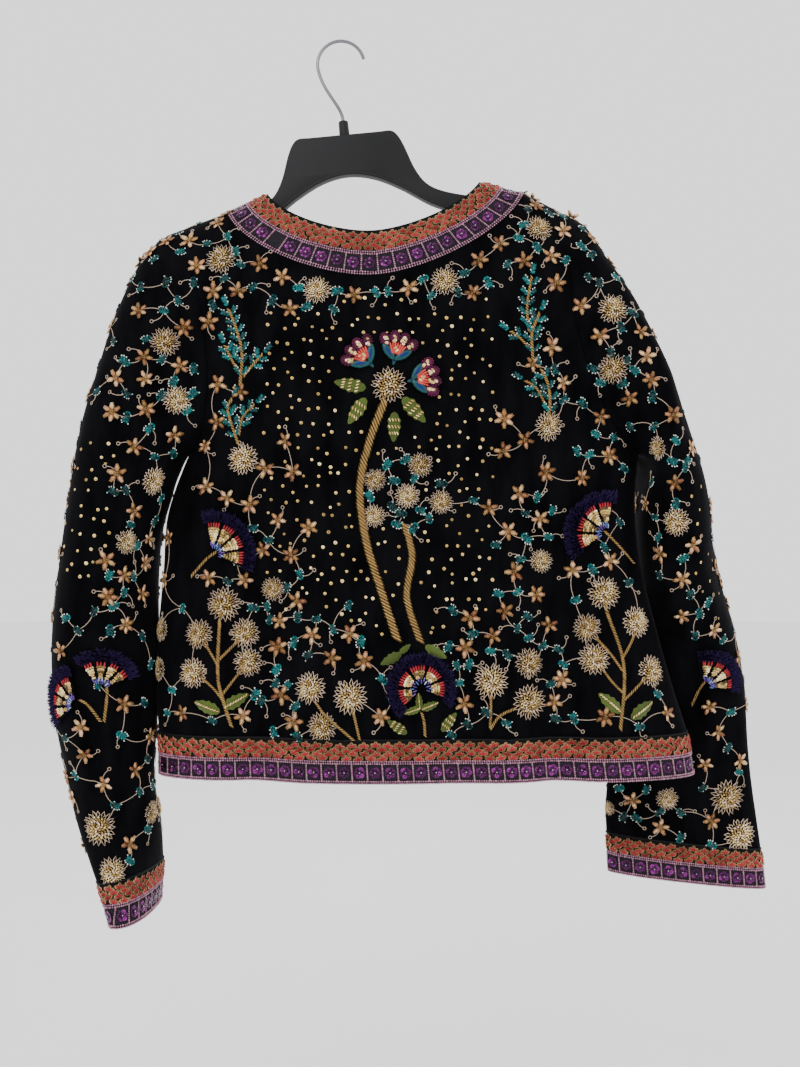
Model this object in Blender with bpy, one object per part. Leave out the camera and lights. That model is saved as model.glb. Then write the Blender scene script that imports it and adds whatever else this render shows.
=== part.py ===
"""Cropped velvet jacket with embroidered borders, hanging on a plastic hanger with a wire hook.

All sizes below are millimetres, and the scene is in metres. Someone who looks along +Y sees the jacket's
back, with +X on the right and +Z up, so "left" is the wearer's left, at -X. The fronts are at +Y.
The origin is under the top bend of the hook, where a rail carries the hanger.
"""

import math

import bmesh
import bpy
from mathutils import Matrix, Vector
from mathutils.bvhtree import BVHTree

MM = 0.001
BACK, FRONT = -1, 1

# Cloth
CLOTH_WALL = 2.0
SEAM_GAP = 0.35
APPLIQUE_WALL = 2.2
APPLIQUE_LIFT = 1.0
WELL_OUTSIDE = 400
WELD_DISTANCE = 0.01
SHARP_ANGLE = math.radians(50)
SEAM_KEYS_PER_MM = 2

# Grid steps of the panels
NECK_HALF_COLUMNS = 9
SHOULDER_COLUMNS = 6
HALF_COLUMNS = NECK_HALF_COLUMNS + SHOULDER_COLUMNS
SIDE_ROWS = 9
ARMHOLE_ROWS = 10
SLEEVE_RINGS = 27
BORDER_ROWS = 2

# Roundness of the hanging cloth: 2 is an ellipse, more is flatter with tighter ends
BODY_SQUARENESS = 2.4
SHOULDER_SQUARENESS = 2.6
SLEEVE_SQUARENESS = 2.2
NECK_SQUARENESS = 1.6

# Below this share of the armhole's height, its roundness reaches less and less far into the panels
UNDERARM_EASE = 0.45
UNDERARM_REACH = 8
UNDERARM_LIMIT = 1.12

# Half the neck's outer width as a share of half the shoulder width
NECK_SHARE = 0.707

# Body from the hem to the underarm; the second row is the seam above the hem border
# z, left_x, right_x, back_depth, front_depth
SIDE_LEVELS = (
    (-670, -167, 324, 58, 51),
    (-632, -167, 318, 57, 50),
    (-590, -167, 304, 55, 49),
    (-535, -165, 289, 51, 47),
    (-485, -163, 276, 47, 44),
    (-446, -160, 271, 44, 42),
    (-411, -148, 270, 42.5, 41),
    (-379, -138, 274, 42, 40.5),
)
BORDER_LEVEL = 1
UNDERARM_LEVEL = len(SIDE_LEVELS) - 1
UNDERARM_Z = -379
BACK_DEPTH, FRONT_DEPTH = SIDE_LEVELS[-1][3:5]

# Vertical folds of the body, soft troughs that fade out upwards
# facing, hem_x, top_x, top_z, trough_depth, half_width
BODY_FOLDS = (
    (BACK, -72, -58, -330, 14, 27),
    (BACK, 193, 196, -260, 18, 24),
    (BACK, 108, 96, -480, 7, 30),
    (FRONT, -80, -70, -330, 13, 28),
    (FRONT, 205, 190, -330, 15, 28),
)
FOLD_FADE = 1.6

# Shoulders and neck
LEFT_SHOULDER = Vector((-159, 0, -177))
RIGHT_SHOULDER = Vector((223, 0, -167))
NECK_OUTER_Z = (-156, -138)
NECK_INNER = ((-67, -139), (127, -128))
NECK_OUTER_DROP = {BACK: 74, FRONT: 128}
NECK_INNER_DROP = {BACK: 47, FRONT: 96}
OPENING_HALF_TOP, OPENING_HALF_HEM = 4, 12

# Sleeves from the armhole to the cuff; the row before the last is the seam above the cuff border
# inner_x, inner_y, inner_z, outer_x, outer_y, outer_z, half_depth
LEFT_SLEEVE = (
    (-138, 0, -379, -159, 0, -177, 36),
    (-142, 0, -381, -178, 0, -191, 40),
    (-146, 0, -386, -194, 0, -219, 44),
    (-150, 0, -394, -210, 0, -260, 48),
    (-155, 0, -405, -224, 0, -307, 50),
    (-159, 0, -420, -237, 0, -350, 52),
    (-165, 0, -449, -250, 0, -428, 54),
    (-168.5, 3, -503, -261, 0, -505, 55),
    (-170, 5, -559, -266, 0, -558, 55),
    (-171, 8, -606, -264, -4, -604, 52),
    (-172.5, 14, -648, -257, -9, -645, 46),
    (-179, 26, -692, -243, -18, -686, 38),
    (-181, 42, -730, -222, -32, -728, 29),
    (-183, 58, -762, -206, -44, -761, 22),
    (-187, 68, -800, -193, -52, -798, 18),
)
RIGHT_SLEEVE = (
    (274, 0, -379, 223, 0, -167, 36),
    (278, 0, -381, 238, 0, -187, 40),
    (281, 0, -386, 259, 0, -219, 44),
    (281, 3, -394, 280, 0, -262, 48),
    (279, 7, -405, 297, 0, -297, 52),
    (276, 13, -420, 314, 2, -342, 54),
    (275, 24, -449, 337, 8, -399, 54),
    (280, 38, -488, 350, 22, -463, 54),
    (282, 51, -540, 371, 40, -529, 50),
    (273, 60, -602, 386, 54, -592, 38),
    (261, 63, -657, 392, 61, -654, 28),
    (254, 64, -704, 398, 63, -706, 21),
    (255, 65, -741, 405, 63, -757, 17),
    (257, 65, -779, 409, 63, -795, 15),
)
SLEEVES = {"left": LEFT_SLEEVE, "right": RIGHT_SLEEVE}
SECTION_STEP = 0.2
ARMHOLE_SCOOP = {"left": 30, "right": 36}
ARMHOLE_HALF_DEPTH = LEFT_SLEEVE[0][6]
SCOOP_RINGS = 4
SCOOP_POWER = 1.3

# Creases of the sleeves, soft troughs across the tube
# along (table row), round (0 under the arm, 0.5 back, 1 outer, 1.5 front), depth, row_spread, round_spread
SLEEVE_FOLDS = {
    "left": (
        (6.3, 0.22, 7, 0.8, 0.16),
        (7.6, 1.30, 7, 0.9, 0.20),
        (8.6, 0.55, 4, 0.7, 0.30),
        (10.2, 0.35, 5, 0.7, 0.18),
        (10.6, 1.60, 5, 0.8, 0.20),
    ),
    "right": (
        (5.8, 0.30, 8, 0.8, 0.18),
        (7.4, 0.85, 6, 0.6, 0.18),
        (8.6, 0.45, 5, 0.8, 0.20),
        (9.6, 1.55, 6, 0.8, 0.22),
        (10.6, 0.60, 4, 0.7, 0.20),
    ),
}

# Raised fan flowers, thread pile round a fan of sequins, and the blossoms at the top of the back
# name, panel, middle_x, middle_z, open_towards (degrees from +X), spread, inner_radius, outer_radius
FAN_FLOWERS = (
    ("fan_back_left", "back", -98, -458, 40, 126, 6, 37),
    ("fan_back_right", "back", 224, -441, 145, 134, 6, 37),
    ("fan_back_centre", "back", 73, -587, 101, 255, 5, 29),
    ("fan_left_sleeve_back", "sleeve_left", -205, -572, 72, 108, 6, 34),
    ("fan_left_sleeve_outer", "sleeve_left", -244, -596, 160, 116, 6, 34),
    ("fan_right_sleeve_back", "sleeve_right", 350, -581, 45, 116, 6, 35),
    ("fan_front_left", "front_left", -98, -462, 40, 126, 6, 37),
    ("fan_front_right", "front_right", 222, -446, 140, 130, 6, 37),
    ("blossom_left", "back", 20, -293, 135, 84, 4, 25),
    ("blossom_top", "back", 52, -287, 76, 84, 4, 25),
    ("blossom_right", "back", 76, -314, 10, 84, 4, 25),
)
FAN_LOBES = 5
FAN_LOBE_RISE = 0.07
FAN_STEPS = 12
FAN_RINGS = 4
HALF_TURN = 180

# Hanger, in its own upright frame: x from the centre outwards, z down from the plate's top
# half_width, top_z, and half_width, underside_z
HANGER_TOP = (
    (42, 0),
    (47, -4),
    (52, -14),
    (60, -36),
    (70, -51),
    (86, -60),
    (115, -68),
    (145, -75),
    (172, -82),
)
HANGER_UNDER = (
    (176, -94),
    (140, -87),
    (100, -78),
    (74, -67),
    (48, -50),
    (24, -38),
    (0, -33.5),
)
HANGER_THICKNESS = 11
HANGER_EDGE_RADIUS = 1.6
HANGER_CENTRE = Vector((3.5, 0, -87.4))
HANGER_TILT = math.radians(5.4)
STUB_RADIUS = 4.4
STUB_HEIGHT = 15
STUB_ROOT = 8
STUB_SIDES = 20
WIRE_RADIUS = 1.6
WIRE_BORE_GAP = 0.35
WIRE_SOCKET_DEPTH = 12
BORE_OVERRUN = 5
HOOK_RADIUS = 21.5
HOOK_TIP_ANGLE, HOOK_SHANK_ANGLE = math.radians(14), math.radians(192)
HOOK_ARC_STEPS, HOOK_SHANK_STEPS = 18, 12
SHANK_LEAVE, SHANK_ARRIVE = 22, 14
SHANK_STRAIGHT = 1

# Colours: red, green, blue, roughness, metallic
FINISHES = {
    "velvet": (0.006, 0.006, 0.008, 0.9, 0.0),
    "border": (0.42, 0.10, 0.12, 0.6, 0.1),
    "fan_pile": (0.06, 0.03, 0.16, 0.85, 0.0),
    "blossom_thread": (0.30, 0.05, 0.16, 0.7, 0.0),
    "hanger_plastic": (0.02, 0.02, 0.022, 0.45, 0.0),
    "hook_steel": (0.75, 0.75, 0.77, 0.2, 1.0),
}


def blend(start, end, share):
    """The value at a share of the way from start to end."""
    return start + (end - start) * share


def table_at(table, position):
    """The row at a fractional index, on a smooth curve through the table's rows."""
    first = min(int(position), len(table) - 2)
    share = position - first
    rows = [table[max(0, min(len(table) - 1, first + step))] for step in (-1, 0, 1, 2)]
    values = []
    for before, start, end, after in zip(*rows):
        lean_in, lean_out = (end - before) / 2, (after - start) / 2
        cubic = 2 * (start - end) + lean_in + lean_out
        square = 3 * (end - start) - 2 * lean_in - lean_out
        values.append(((cubic * share + square) * share + lean_in) * share + start)
    return values


def bow(share, squareness):
    """Height of a rounded arch over -1 to 1: 1 in the middle, 0 at both ends."""
    return max(0.0, 1 - abs(share) ** squareness) ** (1 / squareness)


def bell(distance, half_width):
    """1 at the middle of a soft trough, fading to 0 at about twice its half width."""
    return math.exp(-((distance / half_width) ** 2))


def column_share(column):
    """Place of a column across the body, -1 at the left side and 1 at the right.

    Columns lie closer inside the neck's corners and at the sides, where the cloth turns.
    """
    steps = column - HALF_COLUMNS
    beyond = abs(steps) - NECK_HALF_COLUMNS
    if beyond <= 0:
        return NECK_SHARE * math.sin(math.pi / 2 * steps / NECK_HALF_COLUMNS)
    share = NECK_SHARE + (1 - NECK_SHARE) * math.sin(math.pi / 2 * beyond / SHOULDER_COLUMNS)
    return math.copysign(share, steps)


# Sleeves


def sleeve_section(side, position):
    """Inner edge, outer edge and half depth of a sleeve's section at a table position."""
    values = table_at(SLEEVES[side], position)
    return Vector(values[0:3]), Vector(values[3:6]), values[6]


def sleeve_fold(side, position, turn):
    """How far a sleeve's creases press a point inwards."""
    depth = 0.0
    for along, at_turn, trough, row_spread, turn_spread in SLEEVE_FOLDS[side]:
        around = abs((turn - at_turn + 1) % 2 - 1)
        depth += trough * bell(position - along, row_spread) * bell(around, turn_spread)
    return depth


def sleeve_point(side, position, step):
    """A point of a sleeve: step 0 is under the arm, ARMHOLE_ROWS the outer edge, round by the back."""
    inner, outer, half_depth = sleeve_section(side, position)
    last = len(SLEEVES[side]) - 1
    low, high = max(0, position - SECTION_STEP), min(last, position + SECTION_STEP)
    start, end = (sum(sleeve_section(side, at)[0:2], Vector()) / 2 for at in (low, high))
    centre, across = (inner + outer) / 2, (outer - inner) / 2
    sign = 1 if side == "left" else -1
    depth = across.cross(end - start).normalized() * half_depth * sign
    angle = math.pi * step / ARMHOLE_ROWS
    power = 2 / SLEEVE_SQUARENESS
    cosine = math.copysign(abs(math.cos(angle)) ** power, math.cos(angle))
    sine = math.copysign(abs(math.sin(angle)) ** power, math.sin(angle))
    spoke = depth * sine - across * cosine
    spoke -= spoke.normalized() * sleeve_fold(side, position, step / ARMHOLE_ROWS)
    fade = max(0, 1 - position / SCOOP_RINGS) ** 2
    scoop = ARMHOLE_SCOOP[side] * fade * abs(math.sin(angle)) ** SCOOP_POWER
    return centre + spoke + Vector((scoop * sign, 0, 0))


def sleeve_grid(side, first, last, rings):
    """Rings of a sleeve between two table positions, the first column repeated at the end."""
    places = [blend(first, last, ring / rings) for ring in range(rings + 1)]
    steps = list(range(2 * ARMHOLE_ROWS)) + [0]
    return [[sleeve_point(side, place, step) for step in steps] for place in places]


# Body


def body_fold(facing, x, z):
    """How far the vertical folds press a point of the body inwards."""
    hem_z = SIDE_LEVELS[0][0]
    depth = 0.0
    for fold_facing, hem_x, top_x, top_z, trough, half_width in BODY_FOLDS:
        rise = (z - hem_z) / (top_z - hem_z)
        if fold_facing == facing and rise < 1:
            depth += trough * (1 - rise) ** FOLD_FADE * bell(x - blend(hem_x, top_x, rise), half_width)
    return depth


def side_point(facing, level, share):
    """A point of the body below the underarm."""
    z, left, right, back, front = table_at(SIDE_LEVELS, level)
    x = blend(left, right, (share + 1) / 2)
    arch = bow(share, BODY_SQUARENESS)
    depth = (back if facing == BACK else front) - body_fold(facing, x, z)
    return Vector((x, facing * depth * arch, z))


def upper_y(facing, share, z, ridge):
    """Depth of the cloth from shoulder ridge to underarm: full in the middle, less at the armholes."""
    fall = max(0.0, min(1.0, (ridge - z) / (ridge - UNDERARM_Z)))
    edge = ARMHOLE_HALF_DEPTH * bow(1 - 2 * fall, SLEEVE_SQUARENESS)
    middle = (BACK_DEPTH if facing == BACK else FRONT_DEPTH) * bow(1 - fall, SHOULDER_SQUARENESS)
    arch = bow(share, BODY_SQUARENESS)
    near_underarm = max(0.0, fall - UNDERARM_EASE) / (1 - UNDERARM_EASE)
    reach = abs(share) ** (UNDERARM_REACH * near_underarm**2 / (UNDERARM_LIMIT - near_underarm))
    return facing * (middle * arch + edge * (1 - arch) * reach)


def neck_dip(share, drop):
    """How far the neck's curve lies under the straight line between the shoulders."""
    inside = share / NECK_SHARE
    return drop * bow(inside, NECK_SQUARENESS) if abs(inside) < 1 else 0.0


def top_line(share):
    """Height of the shoulder seams, and of the line between their neck ends."""
    left, right = NECK_OUTER_Z
    if share < -NECK_SHARE:
        return blend(LEFT_SHOULDER.z, left, (share + 1) / (1 - NECK_SHARE))
    if share > NECK_SHARE:
        return blend(RIGHT_SHOULDER.z, right, (1 - share) / (1 - NECK_SHARE))
    return blend(left, right, (share / NECK_SHARE + 1) / 2)


def armhole_point(facing, row, share):
    """A point of the body between the armholes, row 0 at the underarm and the last row at the shoulders."""
    step = row if facing == BACK else 2 * ARMHOLE_ROWS - row
    left, right = (sleeve_point(side, 0, step) for side in ("left", "right"))
    across = (share + 1) / 2
    rise = (left.z - UNDERARM_Z) / (LEFT_SHOULDER.z - UNDERARM_Z)
    under_left, under_right = SIDE_LEVELS[-1][1:3]
    straight = [blend(under_left, LEFT_SHOULDER.x, rise), blend(under_right, RIGHT_SHOULDER.x, rise)]
    scooped = max(0.0, abs(share) - NECK_SHARE) / (1 - NECK_SHARE)
    scoop = left.x - straight[0] if share < 0 else right.x - straight[1]
    x = blend(straight[0], straight[1], across) + scoop * scooped
    top = top_line(share) - neck_dip(share, NECK_OUTER_DROP[facing])
    lift = top - blend(LEFT_SHOULDER.z, RIGHT_SHOULDER.z, across)
    z = blend(left.z, right.z, across) + rise * lift
    y = upper_y(facing, share, z, top_line(share))
    fold = body_fold(facing, x, z) * bow(share, BODY_SQUARENESS)
    return Vector((x, y - facing * fold, z))


def opened(point, column):
    """Moves the column at the centre front back from the middle, so that the fronts hang open."""
    if column == HALF_COLUMNS:
        rise = (point.z - SIDE_LEVELS[0][0]) / (UNDERARM_Z - SIDE_LEVELS[0][0])
        gap = blend(OPENING_HALF_HEM, OPENING_HALF_TOP, min(1, rise))
        return Vector((gap, 0, 0))
    return Vector()


def spread_columns(facing, columns, point_at):
    """One row of a panel; a front's last or first column stands clear of the middle."""
    row = []
    for column in columns:
        point = point_at(facing, column_share(column))
        if facing == FRONT:
            point += opened(point, column) * (-1 if columns[-1] == HALF_COLUMNS else 1)
        row.append(point)
    return row


def panel_grid(facing, columns):
    """A back or front panel from the hem border up to the shoulders and the neck border."""
    rows = []
    for index in range(SIDE_ROWS):
        level = blend(BORDER_LEVEL, UNDERARM_LEVEL, index / SIDE_ROWS)
        rows.append(spread_columns(facing, columns, lambda f, s, at=level: side_point(f, at, s)))
    for index in range(ARMHOLE_ROWS + 1):
        rows.append(spread_columns(facing, columns, lambda f, s, at=index: armhole_point(f, at, s)))
    return rows


def hem_grid(facing, columns):
    """The border along the hem, under a back or front panel."""
    levels = [BORDER_LEVEL * index / BORDER_ROWS for index in range(BORDER_ROWS + 1)]
    return [spread_columns(facing, columns, lambda f, s, at=at: side_point(f, at, s)) for at in levels]


def neck_point(facing, share, rise):
    """A point of the neck border, rise 0 at the panel's seam and 1 at the neck's own edge."""
    seam = armhole_point(facing, ARMHOLE_ROWS, share)
    (left_x, left_z), (right_x, right_z) = NECK_INNER
    across = (share / NECK_SHARE + 1) / 2
    inner_ridge = blend(left_z, right_z, across)
    x = blend(seam.x, blend(left_x, right_x, across), rise)
    z = blend(seam.z, inner_ridge - neck_dip(share, NECK_INNER_DROP[facing]), rise)
    ridge = blend(top_line(share), inner_ridge, rise)
    return Vector((x, upper_y(facing, share, z, ridge), z))


def neck_grid(facing, columns):
    """The border round the neck, from the panel's seam up to the neck's edge."""
    rises = [index / BORDER_ROWS for index in range(BORDER_ROWS + 1)]
    return [spread_columns(facing, columns, lambda f, s, at=rise: neck_point(f, s, at)) for rise in rises]


# Walls


def jacket_grids():
    """Every cloth piece's outer points: name, rows of points, turned, seam edges and finish.

    A grid is turned where its rows and columns face the inside. Seam edges meet another piece.
    """
    middle, last = HALF_COLUMNS, 2 * HALF_COLUMNS
    neck_first, neck_last = SHOULDER_COLUMNS, last - SHOULDER_COLUMNS
    body = (
        ("back", BACK, range(0, last + 1), ("left", "right")),
        ("front_left", FRONT, range(0, middle + 1), ("left",)),
        ("front_right", FRONT, range(middle, last + 1), ("right",)),
    )
    necks = (
        ("neck_border_back", BACK, range(neck_first, neck_last + 1), ("left", "right")),
        ("neck_border_left", FRONT, range(neck_first, middle + 1), ("left",)),
        ("neck_border_right", FRONT, range(middle, neck_last + 1), ("right",)),
    )
    grids = []
    for name, facing, columns, sides in body:
        turned = facing == FRONT
        grids.append((name, panel_grid(facing, columns), turned, sides + ("first", "last"), "velvet"))
        hem_name = name.replace("front", "hem_border").replace("back", "hem_border_back")
        grids.append((hem_name, hem_grid(facing, columns), turned, sides + ("last",), "border"))
    for name, facing, columns, sides in necks:
        grids.append((name, neck_grid(facing, columns), facing == FRONT, sides + ("first",), "border"))
    for side, table in SLEEVES.items():
        cuff = len(table) - 2
        turned = side == "right"
        tube = sleeve_grid(side, 0, cuff, SLEEVE_RINGS)
        grids.append(("sleeve_" + side, tube, turned, ("first", "last"), "velvet"))
        band = sleeve_grid(side, cuff, cuff + 1, BORDER_ROWS)
        grids.append(("cuff_border_" + side, band, turned, ("first",), "border"))
    return grids


def place_key(point):
    """The same key for points of two pieces that meet at a seam, to the nearest half millimetre."""
    return tuple(round(value * SEAM_KEYS_PER_MM) for value in point)


def shared_normals(grids):
    """Outward direction at each place, averaged over all the pieces that meet there."""
    normals = {}
    for _, rows, turned, _, _ in grids:
        for low, high in zip(rows, rows[1:]):
            for a, b, c, d in zip(low, low[1:], high[1:], high):
                normal = (c - a).cross(d - b) * (-1 if turned else 1)
                for point in {place_key(p): p for p in (a, b, c, d)}.values():
                    normals.setdefault(place_key(point), Vector())
                    normals[place_key(point)] += normal
    return {key: normal.normalized() for key, normal in normals.items()}


def seam_edge(rows, edge):
    """Row and column of each point along an edge of a grid."""
    last_row, last_column = len(rows) - 1, len(rows[0]) - 1
    if edge in ("left", "right"):
        at = 0 if edge == "left" else last_column
        return [(row, at) for row in range(last_row + 1)]
    at = 0 if edge == "first" else last_row
    return [(at, column) for column in range(last_column + 1)]


def trimmed(rows, normals, turned, edges):
    """The grid with its seam edges drawn in square to the seam, half the seam gap each."""
    moved = [[point.copy() for point in row] for row in rows]
    for edge in edges:
        line = seam_edge(rows, edge)
        places = [rows[row][column] for row, column in line]
        closed = (places[0] - places[-1]).length < SEAM_GAP
        inside = (1 if edge in ("first", "right") else -1) * (-1 if turned else 1)
        for index, (row, column) in enumerate(line):
            if closed and index in (0, len(line) - 1):
                before, after = places[-2], places[1]
            else:
                before, after = places[max(0, index - 1)], places[min(len(line) - 1, index + 1)]
            inward = normals[row][column].cross(after - before).normalized() * inside
            moved[row][column] += inward * SEAM_GAP / 2
    return moved


def grid_wall(name, rows, normals, wall, finish, collection):
    """A closed wall whose outer points are the grid, and whose inner points lie along the normals."""
    bm = bmesh.new()
    inward = bm.verts.layers.float_vector.new("inward")
    bmesh.ops.create_grid(bm, x_segments=len(rows[0]) - 1, y_segments=len(rows) - 1, size=1)
    flat = [point for row in rows for point in row]
    flat_normals = [normal for row in normals for normal in row]
    for vert, point, normal in zip(bm.verts, flat, flat_normals):
        vert.co = point * MM
        vert[inward] = -normal * wall * MM
    bmesh.ops.remove_doubles(bm, verts=bm.verts, dist=WELD_DISTANCE * MM)
    made = bmesh.ops.extrude_face_region(bm, geom=bm.faces[:], use_keep_orig=True)
    inner = {element for element in made["geom"] if isinstance(element, bmesh.types.BMVert)}
    for vert in inner:
        vert.co += vert[inward]
    split_rims(bm, inner)
    bmesh.ops.recalc_face_normals(bm, faces=bm.faces)
    return mesh_object(name, bm, finish, collection)


def split_rims(bm, inner):
    """Splits each face of a wall's rim from its highest outer corner, so that rims across a seam match."""
    for face in bm.faces[:]:
        outer = [vert for vert in face.verts if vert not in inner]
        if len(face.verts) == 4 and len(outer) == 2:
            high = max(outer, key=lambda vert: vert.co.z)
            corners = list(face.verts)
            opposite = corners[(corners.index(high) + 2) % 4]
            bmesh.utils.face_split(face, high, opposite)


def mesh_object(name, bm, finish, collection):
    """A smooth-shaded object from a bmesh, with its own material."""
    mesh = bpy.data.meshes.new(name)
    bm.to_mesh(mesh)
    bm.free()
    mesh.shade_smooth()
    mesh.set_sharp_from_angle(angle=SHARP_ANGLE)
    made = bpy.data.objects.new(name, mesh)
    made.data.materials.append(finish_material(name, finish))
    collection.objects.link(made)
    return made


def finish_material(name, finish):
    """A material of a piece's colour, roughness and metallic value."""
    red, green, blue, roughness, metallic = FINISHES[finish]
    material = bpy.data.materials.new(f"{name}_{finish}")
    material.use_nodes = True
    shader = material.node_tree.nodes["Principled BSDF"]
    shader.inputs["Base Color"].default_value = (red, green, blue, 1)
    shader.inputs["Roughness"].default_value = roughness
    shader.inputs["Metallic"].default_value = metallic
    return material


def build_jacket(collection):
    """All the cloth pieces. Returns a search tree of each piece's outer side, in millimetres."""
    grids = jacket_grids()
    normals = shared_normals(grids)
    sides = {}
    for name, rows, turned, edges, finish in grids:
        directions = [[normals[place_key(point)] for point in row] for row in rows]
        outer = trimmed(rows, directions, turned, edges)
        grid_wall(name, outer, directions, CLOTH_WALL, finish, collection)
        sides[name] = outer_side(rows, turned)
    return sides


def outer_side(rows, turned):
    """A search tree of a grid's faces, which face outwards."""
    width = len(rows[0])
    faces = []
    for row in range(len(rows) - 1):
        for column in range(width - 1):
            corner = row * width + column
            quad = (corner, corner + 1, corner + width + 1, corner + width)
            faces.append(quad[::-1] if turned else quad)
    return BVHTree.FromPolygons([point for row in rows for point in row], faces)


# Raised flowers


def fan_outline(angle_share, spread, inner, outer, ring_share):
    """Flat place of a fan's point, with small lobes along its outer edge."""
    angle = (angle_share - 0.5) * math.radians(spread)
    lobe = 1 + FAN_LOBE_RISE * abs(math.sin(math.pi * FAN_LOBES * angle_share))
    radius = blend(inner, outer * lobe, ring_share)
    return radius * math.cos(angle), radius * math.sin(angle)


def fan_axes(row, sides):
    """A fan's base point and its directions out of the cloth, along its middle and across it."""
    _, panel, x, z, open_towards, spread, _, outer = row
    facing = FRONT if panel.startswith("front") else BACK
    outside = Vector((x, facing * WELL_OUTSIDE, z))
    middle, up, _, _ = sides[panel].ray_cast(outside, Vector((0, -facing, 0)))
    right = Vector((1, 0, 0))
    right = (right - up * right.dot(up)).normalized()
    top = right.cross(up)
    top *= math.copysign(1, top.z)
    turn = math.radians(open_towards)
    along = right * math.cos(turn) + top * math.sin(turn)
    across = top * math.cos(turn) - right * math.sin(turn)
    base = middle - along * outer / 2 if spread < HALF_TURN else middle
    return base, up, along, across


def build_fan(row, sides, collection):
    """One raised fan flower, laid on its panel from the panel's own points, moved out."""
    name, panel, _, _, _, spread, inner, outer = row
    base, up, along, across = fan_axes(row, sides)
    points, normals = [], []
    for ring in range(FAN_RINGS + 1):
        places = []
        for step in range(FAN_STEPS + 1):
            a, b = fan_outline(step / FAN_STEPS, spread, inner, outer, ring / FAN_RINGS)
            over = base + along * a + across * b + up * outer
            places.append(sides[panel].ray_cast(over, -up)[0:2])
        points.append([place + normal * (APPLIQUE_LIFT + APPLIQUE_WALL) for place, normal in places])
        normals.append([normal for _, normal in places])
    finish = "blossom_thread" if name.startswith("blossom") else "fan_pile"
    grid_wall(name, points, normals, APPLIQUE_WALL, finish, collection)


# Hanger


def hanger_matrix():
    """Place of the hanger's own frame: its plate's top, tilted with the hanger."""
    return Matrix.Translation(HANGER_CENTRE * MM) @ Matrix.Rotation(-HANGER_TILT, 4, "Y")


def as_mesh(source, collection):
    """A mesh object of a curve, with its caps welded, in the curve's place. The curve is removed."""
    bpy.context.view_layer.update()
    graph = bpy.context.evaluated_depsgraph_get()
    mesh = bpy.data.meshes.new_from_object(source.evaluated_get(graph))
    bm = bmesh.new()
    bm.from_mesh(mesh)
    bmesh.ops.remove_doubles(bm, verts=bm.verts, dist=WELD_DISTANCE * MM)
    bmesh.ops.recalc_face_normals(bm, faces=bm.faces)
    bm.to_mesh(mesh)
    bm.free()
    made = bpy.data.objects.new(source.name + "_mesh", mesh)
    made.matrix_world = source.matrix_world.copy()
    collection.objects.link(made)
    bpy.data.objects.remove(source)
    return made


def hanger_plate(collection):
    """The hanger's plate and arms: a flat outline of even thickness with rounded edges."""
    half = [Vector(point) for point in HANGER_TOP + HANGER_UNDER]
    outline = half + [Vector((-p.x, p.y)) for p in reversed(half[:-1])]
    curve = bpy.data.curves.new("hanger_outline", "CURVE")
    curve.dimensions = "2D"
    curve.fill_mode = "BOTH"
    curve.extrude = (HANGER_THICKNESS / 2 - HANGER_EDGE_RADIUS) * MM
    curve.bevel_depth = HANGER_EDGE_RADIUS * MM
    curve.bevel_resolution = 1
    spline = curve.splines.new("POLY")
    spline.points.add(len(outline) - 1)
    for point, place in zip(spline.points, outline):
        point.co = (place.x * MM, place.y * MM, 0, 1)
    spline.use_cyclic_u = True
    flat = bpy.data.objects.new("hanger_outline", curve)
    flat.matrix_world = hanger_matrix() @ Matrix.Rotation(math.pi / 2, 4, "X")
    collection.objects.link(flat)
    return as_mesh(flat, collection)


def upright_rod(name, radius, low, high, collection):
    """A round rod on the hanger's own centre line."""
    bm = bmesh.new()
    wide, tall = radius * MM, (high - low) * MM
    bmesh.ops.create_cone(bm, cap_ends=True, segments=STUB_SIDES, radius1=wide, radius2=wide, depth=tall)
    mesh = bpy.data.meshes.new(name)
    bm.to_mesh(mesh)
    bm.free()
    rod = bpy.data.objects.new(name, mesh)
    rod.matrix_world = hanger_matrix() @ Matrix.Translation((0, 0, (low + high) / 2 * MM))
    collection.objects.link(rod)
    return rod


def combine(target, operation, tool):
    """Adds a live Boolean on the target and hides the tool."""
    modifier = target.modifiers.new(operation.lower(), "BOOLEAN")
    modifier.operation = operation
    modifier.object = tool
    tool.hide_render = True
    tool.display_type = "WIRE"


def build_hanger(collection, cutters):
    """Plate with its arms and the stub on top, bored for the hook's wire."""
    plate = hanger_plate(collection)
    plate.name = "hanger"
    plate.data.materials.append(finish_material("hanger", "hanger_plastic"))
    combine(plate, "UNION", upright_rod("stub", STUB_RADIUS, -STUB_ROOT, STUB_HEIGHT, cutters))
    low, high = STUB_HEIGHT - WIRE_SOCKET_DEPTH - WIRE_BORE_GAP, STUB_HEIGHT + BORE_OVERRUN
    bore = upright_rod("wire_bore", WIRE_RADIUS + WIRE_BORE_GAP, low, high, cutters)
    combine(plate, "DIFFERENCE", bore)


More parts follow.
